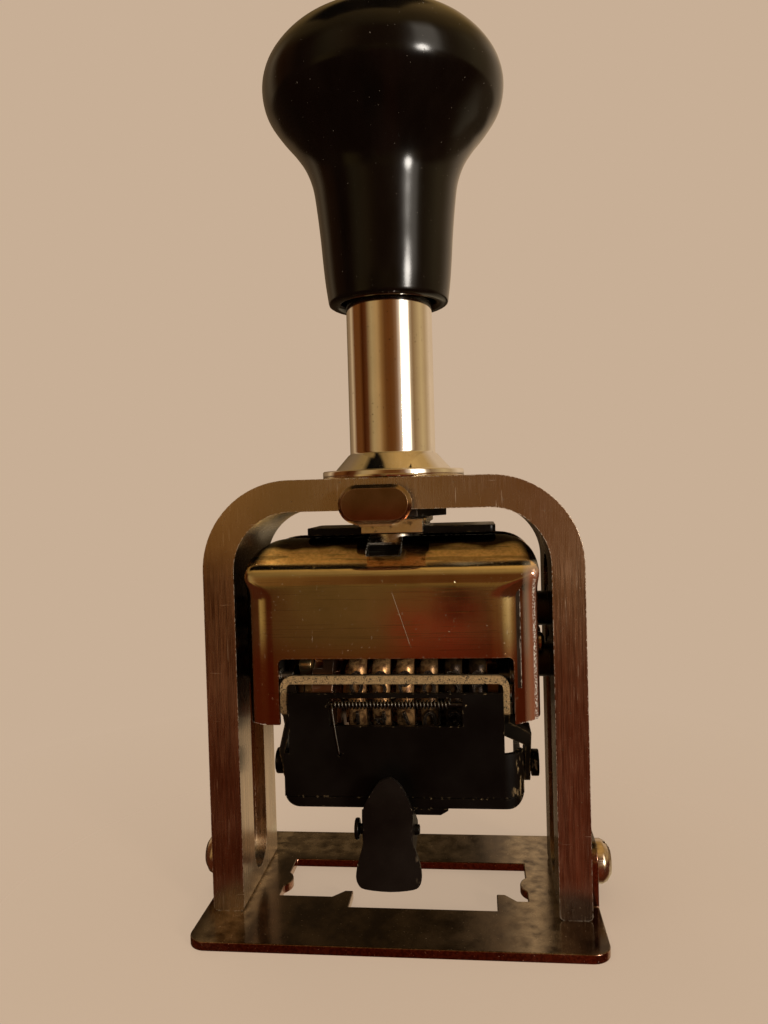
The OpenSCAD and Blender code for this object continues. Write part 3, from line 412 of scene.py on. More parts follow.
finishes = {
    "frame": brushed("brushed_frame", NICKEL, NICKEL_DARK, 0.22, contrast=0.38, arch=True),
    "plate": plate_sheet("tarnished_plate"),
    "cover": mirror_sheet("polished_cover"),
    "button": slide_sheet("satin_button"),
    "steel": brushed("plain_steel", rgb(0.60, 0.54, 0.46), rgb(0.40, 0.34, 0.26), 0.22, ALONG_X),
    "screw": brushed("bright_screws", rgb(0.66, 0.56, 0.44), rgb(0.46, 0.36, 0.26), 0.18, ALONG_X,
                     grain=0.002),
    # Painted shade: parts inside the machine, between other parts, get steel painted almost black.
    "inner": brushed("inner_steel_painted_shade", rgb(0.10, 0.08, 0.06), rgb(0.05, 0.038, 0.028), 0.42),
    "dark": brushed("blackened_steel", rgb(0.05, 0.04, 0.032), rgb(0.02, 0.016, 0.012), 0.4, ALONG_X),
    "chrome": chrome("chrome"),
    "spring": chrome("spring_wire", rgb(0.13, 0.12, 0.10), 0.30),
    "knob": bakelite("polished_black"),
    "black": painted("black_paint", rgb(0.0014, 0.0009, 0.0005), wear=0.25, dust=0.12, shine=0.16,
                     bare_side=18.6),
    "bail": painted("worn_bail", rgb(0.008, 0.006, 0.004), rgb(0.52, 0.34, 0.155), 0.4, 0.6, 0.5,
                    bare_front=-13.4),
    "paddle": painted("worn_paddle", rgb(0.0035, 0.0022, 0.0014), rgb(0.60, 0.44, 0.25), 0.36, 0.15,
                      bare_side=3.7),
    "brass": brushed("brass_washers", rgb(0.66, 0.46, 0.20), rgb(0.42, 0.27, 0.11), 0.3, ALONG_X),
    "drum": brushed("brown_drum", rgb(0.34, 0.17, 0.09), rgb(0.22, 0.11, 0.06), 0.3, ALONG_X),
    "type": type_ground("type_ground"),
    "felt": felt("ink_felt"),
}
digit_finish = type_face("type_face")

WEARS = {
    "frame": "outer_frame",
    "plate": "base_plate",
    "cover": "front_cover rear_cover",
    "button": "lock_slide",
    "steel": "plunger_rod wheel_shaft pawl_shaft feed_pawl detent_springs",
    "screw": "base_screws cover_screws",
    # These inner parts wear the steel painted dark as shade.
    "inner": "carriage_frame rear_bar detent_bar rocker_arm_left rocker_arm_right bail_pins rod_nut "
             "lock_screws guide_studs",
    "dark": "sleeve_nut spring_rod",
    "chrome": "guide_sleeve",
    "spring": "main_spring tray_spring paddle_spring",
    "knob": "knob",
    "black": "buffer_plate pad_carrier pad_holder tray_studs paddle_bracket paddle_pin",
    "bail": "pad_bail",
    "paddle": "paddle",
    "brass": "wheel_spacers selector_lever",
    "drum": "repeat_wheel",
    "type": "number_wheel_1 number_wheel_2 number_wheel_3 number_wheel_4 number_wheel_5 "
            "number_wheel_6",
    "felt": "felt_pad",
}
finish_of = {n: finishes[key] for key, names in WEARS.items() for n in names.split()}


# Pieces

def new_piece(name, mesh, *stands_for, body=None, finish=None):
    """A new object that rides on a body and stands for CAD nodes."""
    piece = bpy.data.objects.new(name, mesh)
    scene.collection.objects.link(piece)
    if stands_for:
        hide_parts(*stands_for)
    mesh.materials.clear()
    mesh.materials.append(finish or finish_of[stands_for[0]])
    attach(piece, body or body_of[stands_for[0]])
    return piece


def mesh_of(name, verts, faces, smooth=True):
    """Mesh from points in millimetres and faces, with its normals outwards."""
    mesh = bpy.data.meshes.new(name)
    mesh.from_pydata([tuple(float(c) * MM for c in v) for v in verts], [], faces)
    bm = bmesh.new()
    bm.from_mesh(mesh)
    bmesh.ops.remove_doubles(bm, verts=bm.verts, dist=1e-7)
    bmesh.ops.recalc_face_normals(bm, faces=bm.faces)
    bm.to_mesh(mesh)
    bm.free()
    if smooth:
        mesh.shade_smooth()
    return mesh


def rounded(node, width):
    """A copy of a CAD node with its edges rounded, as on the real worn piece."""
    bm = bmesh.new()
    bm.from_mesh(nodes[node].data)
    bmesh.ops.remove_doubles(bm, verts=bm.verts, dist=1e-6)
    bmesh.ops.dissolve_limit(bm, angle_limit=radians(0.6), verts=bm.verts, edges=bm.edges)
    mesh = bpy.data.meshes.new(node + "_rounded")
    bm.to_mesh(mesh)
    bm.free()
    mesh.shade_smooth()
    piece = new_piece(node + "_rounded", mesh, node)
    bevel = piece.modifiers.new("edges", "BEVEL")
    bevel.width = width * MM
    bevel.segments = 2
    bevel.limit_method = "ANGLE"
    bevel.angle_limit = radians(32)
    bevel.harden_normals = False
    bevel.use_clamp_overlap = True
    normals = piece.modifiers.new("normals", "WEIGHTED_NORMAL")
    normals.mode = "FACE_AREA"
    normals.weight = 60


def ring_faces(rings, steps):
    """Faces between closed rings of points that follow each other."""
    faces = []
    for i in range(rings - 1):
        for k in range(steps):
            a, b = i * steps + k, i * steps + (k + 1) % steps
            faces.append((a, b, b + steps, a + steps))
    return faces


def lathe(name, profile, steps, *stands_for):
    """A body turned about the vertical axis from (radius, height) points in millimetres."""
    verts = [(r * cos(2 * pi * k / steps), r * sin(2 * pi * k / steps), z)
             for r, z in profile for k in range(steps)]
    mesh = mesh_of(name, verts, ring_faces(len(profile), steps))
    new_piece(name, mesh, *stands_for)


def smooth_line(points, steps):
    """Smooth curve through points with that many steps between two of them."""
    out = []
    for i in range(len(points) - 1):
        a, b, c, d = (points[max(0, min(len(points) - 1, i + k))] for k in (-1, 0, 1, 2))
        for k in range(steps):
            t = k / steps
            out.append(tuple(0.5 * (2 * q + t * (r - p) + t * t * (2 * p - 5 * q + 4 * r - s)
                                    + t ** 3 * (3 * q - p - 3 * r + s))
                             for p, q, r, s in zip(a, b, c, d)))
    return out + [points[-1]]


def tube(name, path, radius, sides, *stands_for):
    """Round wire along a path of points in millimetres."""
    path = [Vector(p) for p in path]
    verts = []
    up = Vector((0.3, 0.2, 0.93))
    for i, p in enumerate(path):
        along = (path[min(i + 1, len(path) - 1)] - path[max(i - 1, 0)]).normalized()
        up = (up - along * up.dot(along)).normalized()
        side = along.cross(up)
        verts += [p + radius * (cos(2 * pi * k / sides) * up + sin(2 * pi * k / sides) * side)
                  for k in range(sides)]
    faces = ring_faces(len(path), sides)
    faces += [tuple(range(sides)), tuple(range(len(verts) - sides, len(verts)))]
    new_piece(name, mesh_of(name, verts, faces), *stands_for)


# How far the edges of these nodes are rounded, in millimetres
ROUNDED = {
    "outer_frame": 0.32, "base_plate": 0.22, "base_screws": 0.15, "lock_slide": 0.18,
    "sleeve_nut": 0.25, "lock_screws": 0.1, "buffer_plate": 0.12, "cover_screws": 0.08,
    "guide_studs": 0.15, "carriage_frame": 0.12, "rear_bar": 0.15, "detent_bar": 0.15,
    "rod_nut": 0.2, "pad_bail": 0.14, "pad_carrier": 0.16, "pad_holder": 0.3, "tray_studs": 0.3,
    "paddle_bracket": 0.15, "paddle_pin": 0.2, "paddle": 0.16, "feed_pawl": 0.08,
    "selector_lever": 0.12, "rocker_arm_left": 0.12, "rocker_arm_right": 0.12, "bail_pins": 0.08,
    "repeat_wheel": 0.12,
}
for name, width in ROUNDED.items():
    rounded(name, width)

# Knob: the same outline as in the frame, finer, with a rounded lip round its hollow
KNOB_Z = 104
TURNED_STEPS = 160
grip = smooth_line([(10.5, 0.6), (10.95, 4), (11.3, 8), (11.6, 12), (12.1, 17), (12.7, 21), (14, 24.5),
                    (15.95, 27.5), (18.4, 30.5), (20.3, 33.5), (20.9, 36.7), (20.4, 39.5), (19.05, 41.9),
                    (16.9, 44.2), (14.1, 46.1), (10.8, 47.7), (7.1, 48.9), (3.4, 49.6), (0, 49.8)], 6)
lip = [(0, 34.2), (7.6, 34.2), (8.2, 33.6), (8.2, 0.9), (8.35, 0.4), (8.6, 0.12), (9.0, 0.0),
       (9.7, 0.0), (10.1, 0.08), (10.4, 0.28)]
lathe("knob_turned", [(r, KNOB_Z + z) for r, z in lip + grip], TURNED_STEPS, "knob")

# Sleeve with a straight cone on a thin disc; the close pairs of points keep its wall's shading level
lathe("sleeve_turned", [
    (4.56, 67.1), (6.5, 67.1), (6.5, 73.8), (12.2, 73.8), (12.36, 73.86), (12.4, 74.0), (12.4, 74.95),
    (12.34, 75.1), (12.2, 75.18), (10.3, 75.22), (10.15, 75.3), (7.8, 77.95), (7.62, 78.04), (7.5, 78.15),
    (7.5, 78.4), (7.5, 111.4), (7.5, 111.6), (7.44, 111.85), (7.3, 112.0), (6.9, 112.0), (6.75, 111.9),
    (6.7, 111.7), (6.7, 76.5), (4.56, 76.5), (4.56, 67.1)], TURNED_STEPS, "guide_sleeve")


# Covers: sheet forms with soft corners where the fold, the sides and the shoulders meet

def box_distance(u, v, half_u, half_v, r):
    """Distance to a rounded rectangle in two dimensions."""
    du, dv = np.abs(u) - half_u + r, np.abs(v) - half_v + r
    return np.hypot(np.maximum(du, 0), np.maximum(dv, 0)) + np.minimum(np.maximum(du, dv), 0) - r


def cover_distance(p, inset):
    """Distance of points to the cover's outer form, drawn in by the inset."""
    x, y, z = p[..., 0], p[..., 1], p[..., 2]
    c = COVER
    corner_at_fold, behind, end, wider = 1.6, 13, 12, 0.9
    # The corners narrow towards the fold
    pinch = np.clip((z - c["fold_z"] + 3.6) / 4, 0, 1)
    corner = np.where(x < 0, c["left_r"], c["right_r"])
    corner = corner - (corner - corner_at_fold) * pinch ** 2 * (3 - 2 * pinch)
    plan = box_distance(x, y - behind, c["x"], c["y"] + behind, corner)
    arch = box_distance(x, z, c["x"] + wider, c["top"], c["arch_r"])
    # The roof is part of a wide circle through the fold and the roof's upper edge
    rise = np.arctan2(c["top"] - c["fold_z"], c["y"] - c["roof_y"])
    span = np.hypot(c["top"] - c["fold_z"], c["y"] - c["roof_y"])
    bow = span ** 2 / 8 / c["bulge"] + c["bulge"] / 2
    bow_y = -(c["y"] + c["roof_y"]) / 2 + (bow - c["bulge"]) * sin(rise)
    bow_z = (c["top"] + c["fold_z"]) / 2 - (bow - c["bulge"]) * cos(rise)
    roof = np.hypot(y - bow_y, z - bow_z) - bow
    d = roof
    for other, soft in ((plan, c["fold_r"]), (arch, c["soft"])):
        bent = np.maximum(soft - np.abs(d - other), 0)
        d = np.maximum(d, other) + bent ** 2 / (4 * soft)
    d = np.maximum(d, c["low"] - z)
    return np.maximum(d, y - end) + inset


def cover_form(inset, grid=84, reach=70, halvings=40):
    """Closed mesh of the cover's form, found by halving along rays from its middle."""
    middle = np.array([0.0, -3.0, 46.0])
    t = np.tan(np.linspace(-pi / 4, pi / 4, grid + 1))
    u, v = np.meshgrid(t, t, indexing="ij")
    one = np.ones_like(u)
    verts, faces = [], []
    for axis, sign in ((0, 1), (0, -1), (1, 1), (1, -1), (2, 1), (2, -1)):
        parts = [u, v]
        parts.insert(axis, sign * one)
        ray = np.stack(parts, axis=-1)
        ray /= np.linalg.norm(ray, axis=-1, keepdims=True)
        near, far = np.zeros_like(u), reach * one
        for _ in range(halvings):
            half = (near + far) / 2
            inside = cover_distance(middle + half[..., None] * ray, inset) < 0
            near, far = np.where(inside, half, near), np.where(inside, far, half)
        start = len(verts)
        verts += list((middle + near[..., None] * ray).reshape(-1, 3))
        for i in range(grid):
            for j in range(grid):
                a = start + i * (grid + 1) + j
                faces.append((a, a + 1, a + grid + 2, a + grid + 1))
    return mesh_of("form", verts, faces)


def prism(points, axis, low, high):
    """Closed mesh of a flat outline drawn along one axis."""
    n = len(points)
    verts = [p[:axis] + (at,) + p[axis:] for at in (low, high) for p in points]
    faces = [tuple(range(n)), tuple(range(n, 2 * n))]
    faces += [(k, (k + 1) % n, n + (k + 1) % n, n + k) for k in range(n)]
    return mesh_of("cutter", verts, faces, smooth=False)


def circle(u, v, r, steps=32):
    return [(u + r * cos(2 * pi * k / steps), v + r * sin(2 * pi * k / steps)) for k in range(steps)]


def cut(target, mesh, operation):
    """Applies one boolean to an object and gives the object its new mesh."""
    cutter = bpy.data.objects.new("cutter", mesh)
    scene.collection.objects.link(cutter)
    step = target.modifiers.new("cut", "BOOLEAN")
    step.operation = operation
    step.object = cutter
    step.solver = "EXACT"
    graph = bpy.context.evaluated_depsgraph_get()
    made = bpy.data.meshes.new_from_object(target.evaluated_get(graph))
    target.modifiers.clear()
    target.data = made
    bpy.data.objects.remove(cutter)


# Thickness of the sheet, place and radius of the holes in both sides and in the rear face, and the
# notch for the lock slide in the front roof
SHEET = 0.8
SIDE_HOLES = [(0, 50.5, 3.1), (0, 41.6, 3.1), (-4, 45.4, 0.82)]
REAR_HOLES = [(-14, 54, 1.05), (14, 54, 1.05)]
NOTCH = [(-3.9, 60.9), (1.8, 60.9), (1.8, 70), (-3.9, 70)]


def wheel_window():
    """Outline of the opening in front of the wheels, open below, with rounded upper corners."""
    left, right, top, r = -18.4, 19.7, 44.6, 0.9
    window = [(left, 20), (left, top - r)]
    window += [(left + r - r * cos(a), top - r + r * sin(a)) for a in (0.4, 0.8, 1.2, pi / 2)]
    window += [(right - r + r * sin(a), top - r + r * cos(a)) for a in (0.0, 0.4, 0.8, 1.2)]
    return window + [(right, top - r), (right, 20)]


def cover(node, back):
    """Sheet cover in front of the seam, or its mirror image behind it."""
    low = 31.0 if back else 33.8
    outer, inner = cover_form(0.0), cover_form(SHEET)
    bm = bmesh.new()
    bm.from_mesh(inner)
    bmesh.ops.reverse_faces(bm, faces=bm.faces)
    bm.from_mesh(outer)
    shell = bpy.data.meshes.new(node + "_sheet")
    bm.to_mesh(shell)
    bm.free()
    piece = bpy.data.objects.new(node + "_sheet", shell)
    scene.collection.objects.link(piece)
    seam, step_z, ridge = -0.15, 60.5, -COVER["roof_y"] - 0.05
    half = [(-20, low), (seam, low), (seam, step_z), (ridge, step_z), (ridge, 66), (-20, 66)]
    cut(piece, prism(half, 0, -30, 30), "INTERSECT")
    for y, z, r in SIDE_HOLES:
        cut(piece, prism(circle(y, z, r), 0, -30, 30), "DIFFERENCE")
    if back:
        for x, z, r in REAR_HOLES:
            cut(piece, prism(circle(x, z, r), 1, -20, -10), "DIFFERENCE")
    else:
        cut(piece, prism(wheel_window(), 1, -20, -9), "DIFFERENCE")
        cut(piece, prism(NOTCH, 1, -20, 2), "DIFFERENCE")
    mesh = piece.data
    bpy.data.objects.remove(piece)
    if back:
        mesh.transform(Matrix.Scale(-1, 4, (0, 1, 0)))
        mesh.flip_normals()
    mesh.shade_smooth()
    mesh.set_sharp_from_angle(angle=radians(35))
    new_piece(node + "_sheet", mesh, node)


cover("front_cover", back=False)
cover("rear_cover", back=True)


# Number wheels: a ten-sided drum with rounded raised digits in mirror writing

# Middle of the first wheel, distance from wheel to wheel, height of their axle and radius of a drum
FIRST_WHEEL, PITCH, AXLE, DRUM_R = -6.2, 4.03, 36.4, 9.9


def oval(u, v, half_u, half_v, start=0, end=360, steps=20):
    """Points round an ellipse, from one angle to another."""
    return [(u + half_u * cos(radians(start + (end - start) * k / steps)),
             v + half_v * sin(radians(start + (end - start) * k / steps))) for k in range(steps + 1)]


# Half width and half height of a digit, and its strokes from 0 to 9
W, H = 0.86, 1.85
DIGITS = [
    [oval(0, 0, W, H)],
    [[(-0.5, 1.2), (0.1, H), (0.1, -H)]],
    [oval(0, 0.9, W, 0.95, 160, -30) + [(-W, -H), (W, -H)]],
    [oval(-0.05, 0.9, 0.8, 0.95, 150, -90) + oval(0, -0.9, W, 0.95, 90, -150)],
    [[(0.45, -H), (0.45, H), (-W, -0.7), (W, -0.7)]],
    [[(W, H), (-0.7, H), (-0.75, 0.25)] + oval(0, -0.75, W, 1.1, 130, -150)],
    [oval(0.1, 0, 0.95, H, 60, 180) + oval(0, -0.8, W, 1.05, 180, -180)],
    [[(-W, H), (W, H), (-0.25, -H)]],
    [oval(0, 0.95, 0.72, 0.9, 270, -90) + oval(0, -0.9, W, 0.95, 90, -270)],
    [oval(-0.1, 0, 0.95, H, -120, 0) + oval(0, 0.8, W, 1.05, 0, 360)],
]


def ridge(path, turn, at_x):
    """Raised stroke of a digit on the wheel's face; gives its points and faces."""
    profile = [(-0.27, -0.5), (-0.27, 0.62), (-0.19, 0.76), (0.19, 0.76), (0.27, 0.62), (0.27, -0.5)]
    spin = Matrix.Rotation(turn, 3, "X")
    verts = []
    for i, (u, v) in enumerate(path):
        a, b = path[max(i - 1, 0)], path[min(i + 1, len(path) - 1)]
        along = Vector((b[0] - a[0], b[1] - a[1])).normalized()
        for side, up in profile:
            p = spin @ Vector((u - along.y * side, v + along.x * side, -DRUM_R - up))
            verts.append(p + Vector((at_x, 0, AXLE)))
    n = len(profile)
    faces = ring_faces(len(path), n)
    return verts, faces + [tuple(range(n)), tuple(range(len(verts) - n, len(verts)))]


def number_wheel(i):
    """Drum, ratchet and bore of one wheel, and its digits as a piece of their own."""
    node = "number_wheel_%d" % i
    at_x = FIRST_WHEEL + (i - 1) * PITCH
    # Ratchet: turn from the middle of a tooth's face in degrees, and radius there
    tooth_steps = ((-17, 7.1), (-14, 5.9), (-8, 6.2), (0, 6.6), (8, 7.1), (14, 7.4), (17, 7.55))
    around = [(radians(36 * k + step), tooth, DRUM_R / cos(radians(step)))
              for k in range(10) for step, tooth in tooth_steps]
    # Rings round the wheel: place beside its middle, and radius or the outline that the ring follows
    rings = [(-1.45, 2.56), (-2.45, 2.56), (-2.45, 4.5), (-2.45, "tooth"), (-1.5, "tooth"), (-1.45, 9.0),
             (-1.4, "drum"), (1.4, "drum"), (1.45, 9.0), (1.45, 2.56), (-1.45, 2.56)]
    verts = []
    for across, r in rings:
        for a, tooth, drum in around:
            reach = {"tooth": tooth, "drum": drum}.get(r, r)
            verts.append((at_x + across, reach * sin(a), AXLE - reach * cos(a)))
    new_piece(node + "_drum", mesh_of(node, verts, ring_faces(len(rings), len(around))), node)
    verts, faces = [], []
    for k in range(10):
        for path in DIGITS[(k + 3 * i) % 10]:
            new_verts, new_faces = ridge(path, radians(36 * k), at_x)
            faces += [tuple(len(verts) + c for c in face) for face in new_faces]
            verts += new_verts
    new_piece(node + "_digits", mesh_of(node + "_type", verts, faces, smooth=False),
              body=body_of[node], finish=digit_finish)


for i in range(1, 7):
    number_wheel(i)


# Felt pad: a crowned, matted pad with soft sides

def felt_pad():
    """Pad that fills the holder, crowned in the middle, with an uneven matted surface."""
    low, high = Vector((-15.3, -11.9, 22.25)), Vector((17.3, 2.9, 25.05))
    middle, half = (low + high) / 2, (high - low) / 2
    across, deep = 120, 60
    verts = []
    for sign in (1, -1):
        for i in range(across + 1):
            for j in range(deep + 1):
                u, v = sin(pi / 2 * (2 * i / across - 1)), sin(pi / 2 * (2 * j / deep - 1))
                rise = (1 - abs(u) ** 10) ** 0.4 * (1 - abs(v) ** 8) ** 0.4
                at = Vector((middle.x + half.x * u, middle.y + half.y * v, 0))
                crown = 0.86 + 0.08 * (1 - u * u) * (1 - v * v)
                matted = 0.05 * noise.fractal(at * 1.7, 1.0, 2.0, 4)
                verts.append((at.x, at.y, middle.z + sign * half.z * rise * min(crown + matted, 1)))
    faces = []
    for s in range(2):
        for i in range(across):
            for j in range(deep):
                a = s * (across + 1) * (deep + 1) + i * (deep + 1) + j
                faces.append((a, a + 1, a + deep + 2, a + deep + 1))
    pad = new_piece("felt_pad_matted", mesh_of("felt", verts, faces), "felt_pad")


felt_pad()

# Tray spring: a leg hooked into the tray's face, a fine close coil and a short back leg
COIL_X, COIL_Y, COIL_Z, COIL_R, WIRE_R = (-9.35, 9.4), -15.5, 37.6, 0.62, 0.13
TURNS, TURN_STEPS = 33, 16
coil = []
for i in range(TURN_STEPS * TURNS + 1):
    turn = pi + 2 * pi * i / TURN_STEPS
    coil.append((COIL_X[0] + (COIL_X[1] - COIL_X[0]) * i / (TURN_STEPS * TURNS),
                 COIL_Y + COIL_R * cos(turn), COIL_Z + COIL_R * sin(turn)))
leg = smooth_line([(-8.3, -15.3, 29.7), (-8.3, -16.05, 29.7), (-8.33, -16.25, 29.95), (-8.5, -16.28, 31),
                   (-8.95, -16.25, 34), (-9.3, -16.15, 36.7)], 6)
tube("tray_spring_wound", leg + coil + [(9.5, -14.95, 38.2), (9.5, -14.85, 39.1)], WIRE_R, 10,
     "tray_spring")

# Nodes that are shown as they are in the frame wear the same materials
for name, material in finish_of.items():
    mesh = nodes[name].data
    mesh.materials.clear()
    mesh.materials.append(material)


# Floor, light and camera

WARM_PALE = rgb(0.578, 0.429, 0.305)
MIDDLE = Vector((0, 0, 0.075))


def make_floor():
    """Round floor under the object that fades into the background."""
    radius, rings, steps = 0.3, 24, 96
    fades_from, gone_at, own_light = 0.045, 0.14, 0.7
    verts = [(0, 0, 0)] + [(radius / MM * i / rings * cos(2 * pi * k / steps),
                            radius / MM * i / rings * sin(2 * pi * k / steps), 0)
                           for i in range(1, rings + 1) for k in range(steps)]
    faces = [(0, 1 + k, 1 + (k + 1) % steps) for k in range(steps)]
    faces += [(1 + a, 1 + b, 1 + c, 1 + d) for a, b, c, d in ring_faces(rings, steps)]
    mesh = mesh_of("floor", verts, faces, smooth=False)
    f = Finish("pale_floor")
    away = f.add("VectorMath", {0: f.place}, operation="LENGTH").outputs["Value"]
    cloud = f.span(f.noise(60, detail=3), 0.3, 0.7)
    colour = f.mix(cloud, tone(WARM_PALE, 0.98), tone(WARM_PALE, 1.02))
    lit = f.add("BsdfPrincipled", {"Base Color": colour, "Roughness": 0.7, "Specular IOR Level": 0.1})
    own = f.add("Emission", {"Color": WARM_PALE, "Strength": 1.0})
    near = f.add("MixShader", {0: own_light, 1: lit.outputs[0], 2: own.outputs[0]})
    clear = f.add("BsdfTransparent")
    fade = f.span(away, fades_from, gone_at)
    both = f.add("MixShader", {0: fade, 1: near.outputs[0], 2: clear.outputs[0]})
    out = f.add("OutputMaterial")
    f.tree.links.new(both.outputs[0], out.inputs[0])
    mesh.materials.append(f.material)
    floor = bpy.data.objects.new("floor", mesh)
    floor.visible_glossy = False
    scene.collection.objects.link(floor)


class Sky(Finish):
    """The world's nodes, built with the same helpers; place is the direction of the ray."""

    def __init__(self, name):
        self.world = bpy.data.worlds.new(name)
        self.world.use_nodes = True
        self.tree = self.world.node_tree
        self.tree.nodes.clear()
        self.place = self.add("TexCoord").outputs["Generated"]

    def ramp(self, source, stops):
        node = self.add("ValToRGB", {0: source})
        band = node.color_ramp
        while len(band.elements) < len(stops):
            band.elements.new(0.5)
        for element, (at, colour) in zip(band.elements, stops):
            element.position = at
            element.color = (*colour, 1)
        return node.outputs[0]


EVEN_LIGHT = rgb(0.46, 0.42, 0.38)

# Room in front that mirrors show: height from straight down to straight up, and colour
FRONT_ROOM = [(0.0, (0.05, 0.012, 0.004)), (0.34, (0.075, 0.013, 0.004)), (0.39, (0.09, 0.018, 0.006)),
              (0.41, (0.125, 0.055, 0.016)), (0.45, (0.16, 0.085, 0.024)), (0.52, (0.21, 0.105, 0.027)),
              (0.64, (0.26, 0.15, 0.05)), (0.82, (0.30, 0.18, 0.06)), (1.0, (0.50, 0.30, 0.10))]

# Sides of the room that mirrors show: turn from the front to the right in degrees, and colour. The
# first is seen from the upper half of the machine and the second from its lower half.
UPPER_ROOM = [(-180, (0.06, 0.035, 0.012)), (-130, (0.30, 0.19, 0.10)), (-118, (0.60, 0.42, 0.24)),
              (-104, (0.14, 0.045, 0.010)), (-84, (0.14, 0.045, 0.010)), (-73, (0.05, 0.010, 0.001)),
              (-60, (0.10, 0.03, 0.008)), (-44, (0.42, 0.28, 0.12)), (-28, (0.44, 0.26, 0.10)),
              (-17, (0.24, 0.11, 0.03)), (-7, (0.13, 0.045, 0.010)), (3, (0.13, 0.040, 0.008)),
              (14, (0.15, 0.055, 0.014)), (23, (0.26, 0.13, 0.06)), (32, (0.80, 0.62, 0.46)),
              (37, (3.2, 2.8, 2.3)), (54, (3.2, 2.8, 2.3)), (60, (0.55, 0.40, 0.24)),
              (68, (0.28, 0.16, 0.07)), (95, (0.60, 0.42, 0.20)), (112, (0.48, 0.32, 0.16)),
              (135, (0.75, 0.55, 0.36)), (180, (0.60, 0.42, 0.26))]
LOWER_ROOM = [(-180, (0.05, 0.03, 0.014)), (-110, (0.06, 0.022, 0.008)), (-62, (0.10, 0.03, 0.009)),
              (-50, (0.50, 0.32, 0.11)), (-38, (0.42, 0.25, 0.08)), (-27, (0.16, 0.07, 0.018)),
              (26, (0.24, 0.11, 0.035)), (33, (0.50, 0.32, 0.12)), (44, (0.80, 0.55, 0.26)),
              (54, (0.34, 0.18, 0.06)), (64, (0.12, 0.035, 0.012)), (98, (0.10, 0.028, 0.010)),
              (118, (0.30, 0.19, 0.095)), (150, (0.05, 0.03, 0.014)), (180, (0.05, 0.03, 0.014))]


def front_room(f, x, y, z):
    """Room in front, as the flat faces mirror it: brown by height, with a few darker and redder patches."""
    drift = f.add("TexNoise", {"Vector": f.place, "Scale": 3.2, "Detail": 3.0}).outputs[0]
    height = f.plus(f.span(z, -1, 1), f.span(drift, 0.3, 0.7, -0.05, 0.05))
    colour = f.shade(f.ramp(height, FRONT_ROOM), f.span(x, -0.35, 0.2, 0.72, 1.4))
    left_leg = f.times(f.span(x, -0.22, -0.27), f.span(z, -0.03, -0.10))
    right_leg = f.times(f.span(x, 0.05, 0.09), f.span(z, -0.12, -0.2))
    red = f.times(f.span(f.apart(x, -0.052), 0.060, 0.034), f.span(f.apart(z, -0.162), 0.034, 0.016))
    dark = f.times(f.span(f.apart(x, -0.018), 0.038, 0.020), f.span(f.apart(z, -0.125), 0.026, 0.012))
    overhead = f.times(f.span(z, 0.80, 0.86), f.span(f.apart(x, -0.15), 0.36, 0.31),
                       f.span(y, -0.22, -0.15))
    for share, shown in ((left_leg, rgb(0.075, 0.013, 0.003)), (right_leg, rgb(0.14, 0.026, 0.008)),
                         (red, rgb(0.26, 0.030, 0.012)), (dark, rgb(0.008, 0.005, 0.002)),
                         (overhead, rgb(0.004, 0.003, 0.002))):
        colour = f.mix(share, colour, shown)
    return colour


def side_room(f, turn, x, y, z):
    """Room all round, as the sleeve, the knob and the rounded edges mirror it."""
    part = f.span(turn, -pi, pi)
    upper, lower = (f.ramp(part, [((at + 180) / 360, colour) for at, colour in room])
                    for room in (UPPER_ROOM, LOWER_ROOM))
    behind = f.times(f.span(y, 0.25, 0.45), f.span(x, -0.1, 0.0), f.span(z, -0.24, -0.29))
    lower = f.mix(behind, lower, rgb(0.56, 0.43, 0.27))
    ruddy = f.times(f.span(z, -0.15, -0.20), f.span(y, 0.25, 0.0))
    lower = f.mix(ruddy, lower, rgb(0.085, 0.020, 0.007))
    return f.mix(f.span(z, -0.03, 0.05), lower, upper)


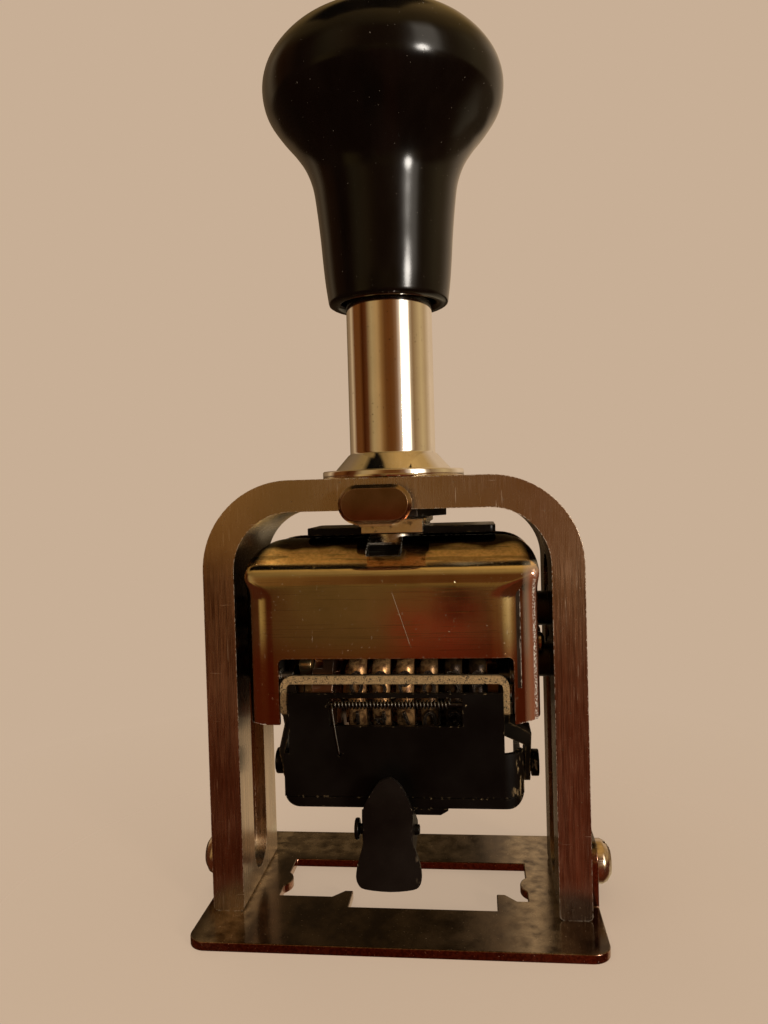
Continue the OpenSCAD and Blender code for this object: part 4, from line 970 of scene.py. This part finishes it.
def make_world():
    """Pale background for the camera, a warm lamplit room for mirrors, and an even soft light."""
    f = Sky("studio")
    x, y, z = f.add("SeparateXYZ", {0: f.place}).outputs
    turn = f.math("ARCTAN2", x, f.times(y, -1))
    aside = f.span(f.apart(turn), radians(22), radians(30))
    aside = f.times(f.most(aside, f.span(z, 0.02, 0.045)), f.span(z, 0.75, 0.55))
    room = f.mix(aside, front_room(f, x, y, z), side_room(f, turn, x, y, z))
    path = f.add("LightPath")
    shiny = f.most(path.outputs["Is Glossy Ray"], path.outputs["Is Transmission Ray"])
    seen = f.mix(shiny, EVEN_LIGHT, room)
    seen = f.mix(path.outputs["Is Camera Ray"], seen, WARM_PALE)
    back = f.add("Background", {0: seen})
    out = f.add("OutputWorld")
    f.tree.links.new(back.outputs[0], out.inputs[0])
    scene.world = f.world


def lamp(name, where, size, power, colour, shape="SQUARE", mirrored=False):
    """Area lamp at a point, in metres, that faces the machine's middle; mirrored if metal shows it."""
    light = bpy.data.lights.new(name, "AREA")
    light.shape = shape
    light.size = size
    light.energy = power
    light.color = colour
    obj = bpy.data.objects.new(name, light)
    obj.location = where
    obj.rotation_euler = (MIDDLE - Vector(where)).to_track_quat("-Z", "Y").to_euler()
    obj.visible_glossy = mirrored
    scene.collection.objects.link(obj)


def make_camera():
    """Camera at the place and angle that the photograph was taken from; they were solved from it."""
    turn = (Matrix.Rotation(radians(-1.47063), 3, "Z") @ Matrix.Rotation(radians(6.36612), 3, "Y")
            @ Matrix.Rotation(radians(1.35823), 3, "X")
            @ Matrix(((1, 0, 0), (0, 0, -1), (0, 1, 0))))
    axes = Matrix((turn[0], -turn[1], -turn[2])).transposed()
    data = bpy.data.cameras.new("camera")
    data.sensor_width = 36
    data.lens = 28.8158
    data.clip_start = 0.01
    data.clip_end = 20
    camera = bpy.data.objects.new("camera", data)
    camera.matrix_world = Matrix.Translation(Vector((14.241, -144.326, 71.292)) * MM) @ axes.to_4x4()
    scene.collection.objects.link(camera)
    scene.camera = camera


make_floor()
make_world()
lamp("key", (0.36, -0.42, 0.13), 0.10, 1.6, (1, 0.93, 0.84), "DISK", mirrored=True)
lamp("overhead", (-0.15, -0.15, 0.9), 0.7, 3.5, (1, 0.96, 0.9))
lamp("back", (-0.5, 0.7, 0.5), 0.5, 1.4, (1, 0.95, 0.88))
make_camera()
scene.view_settings.view_transform = "Standard"
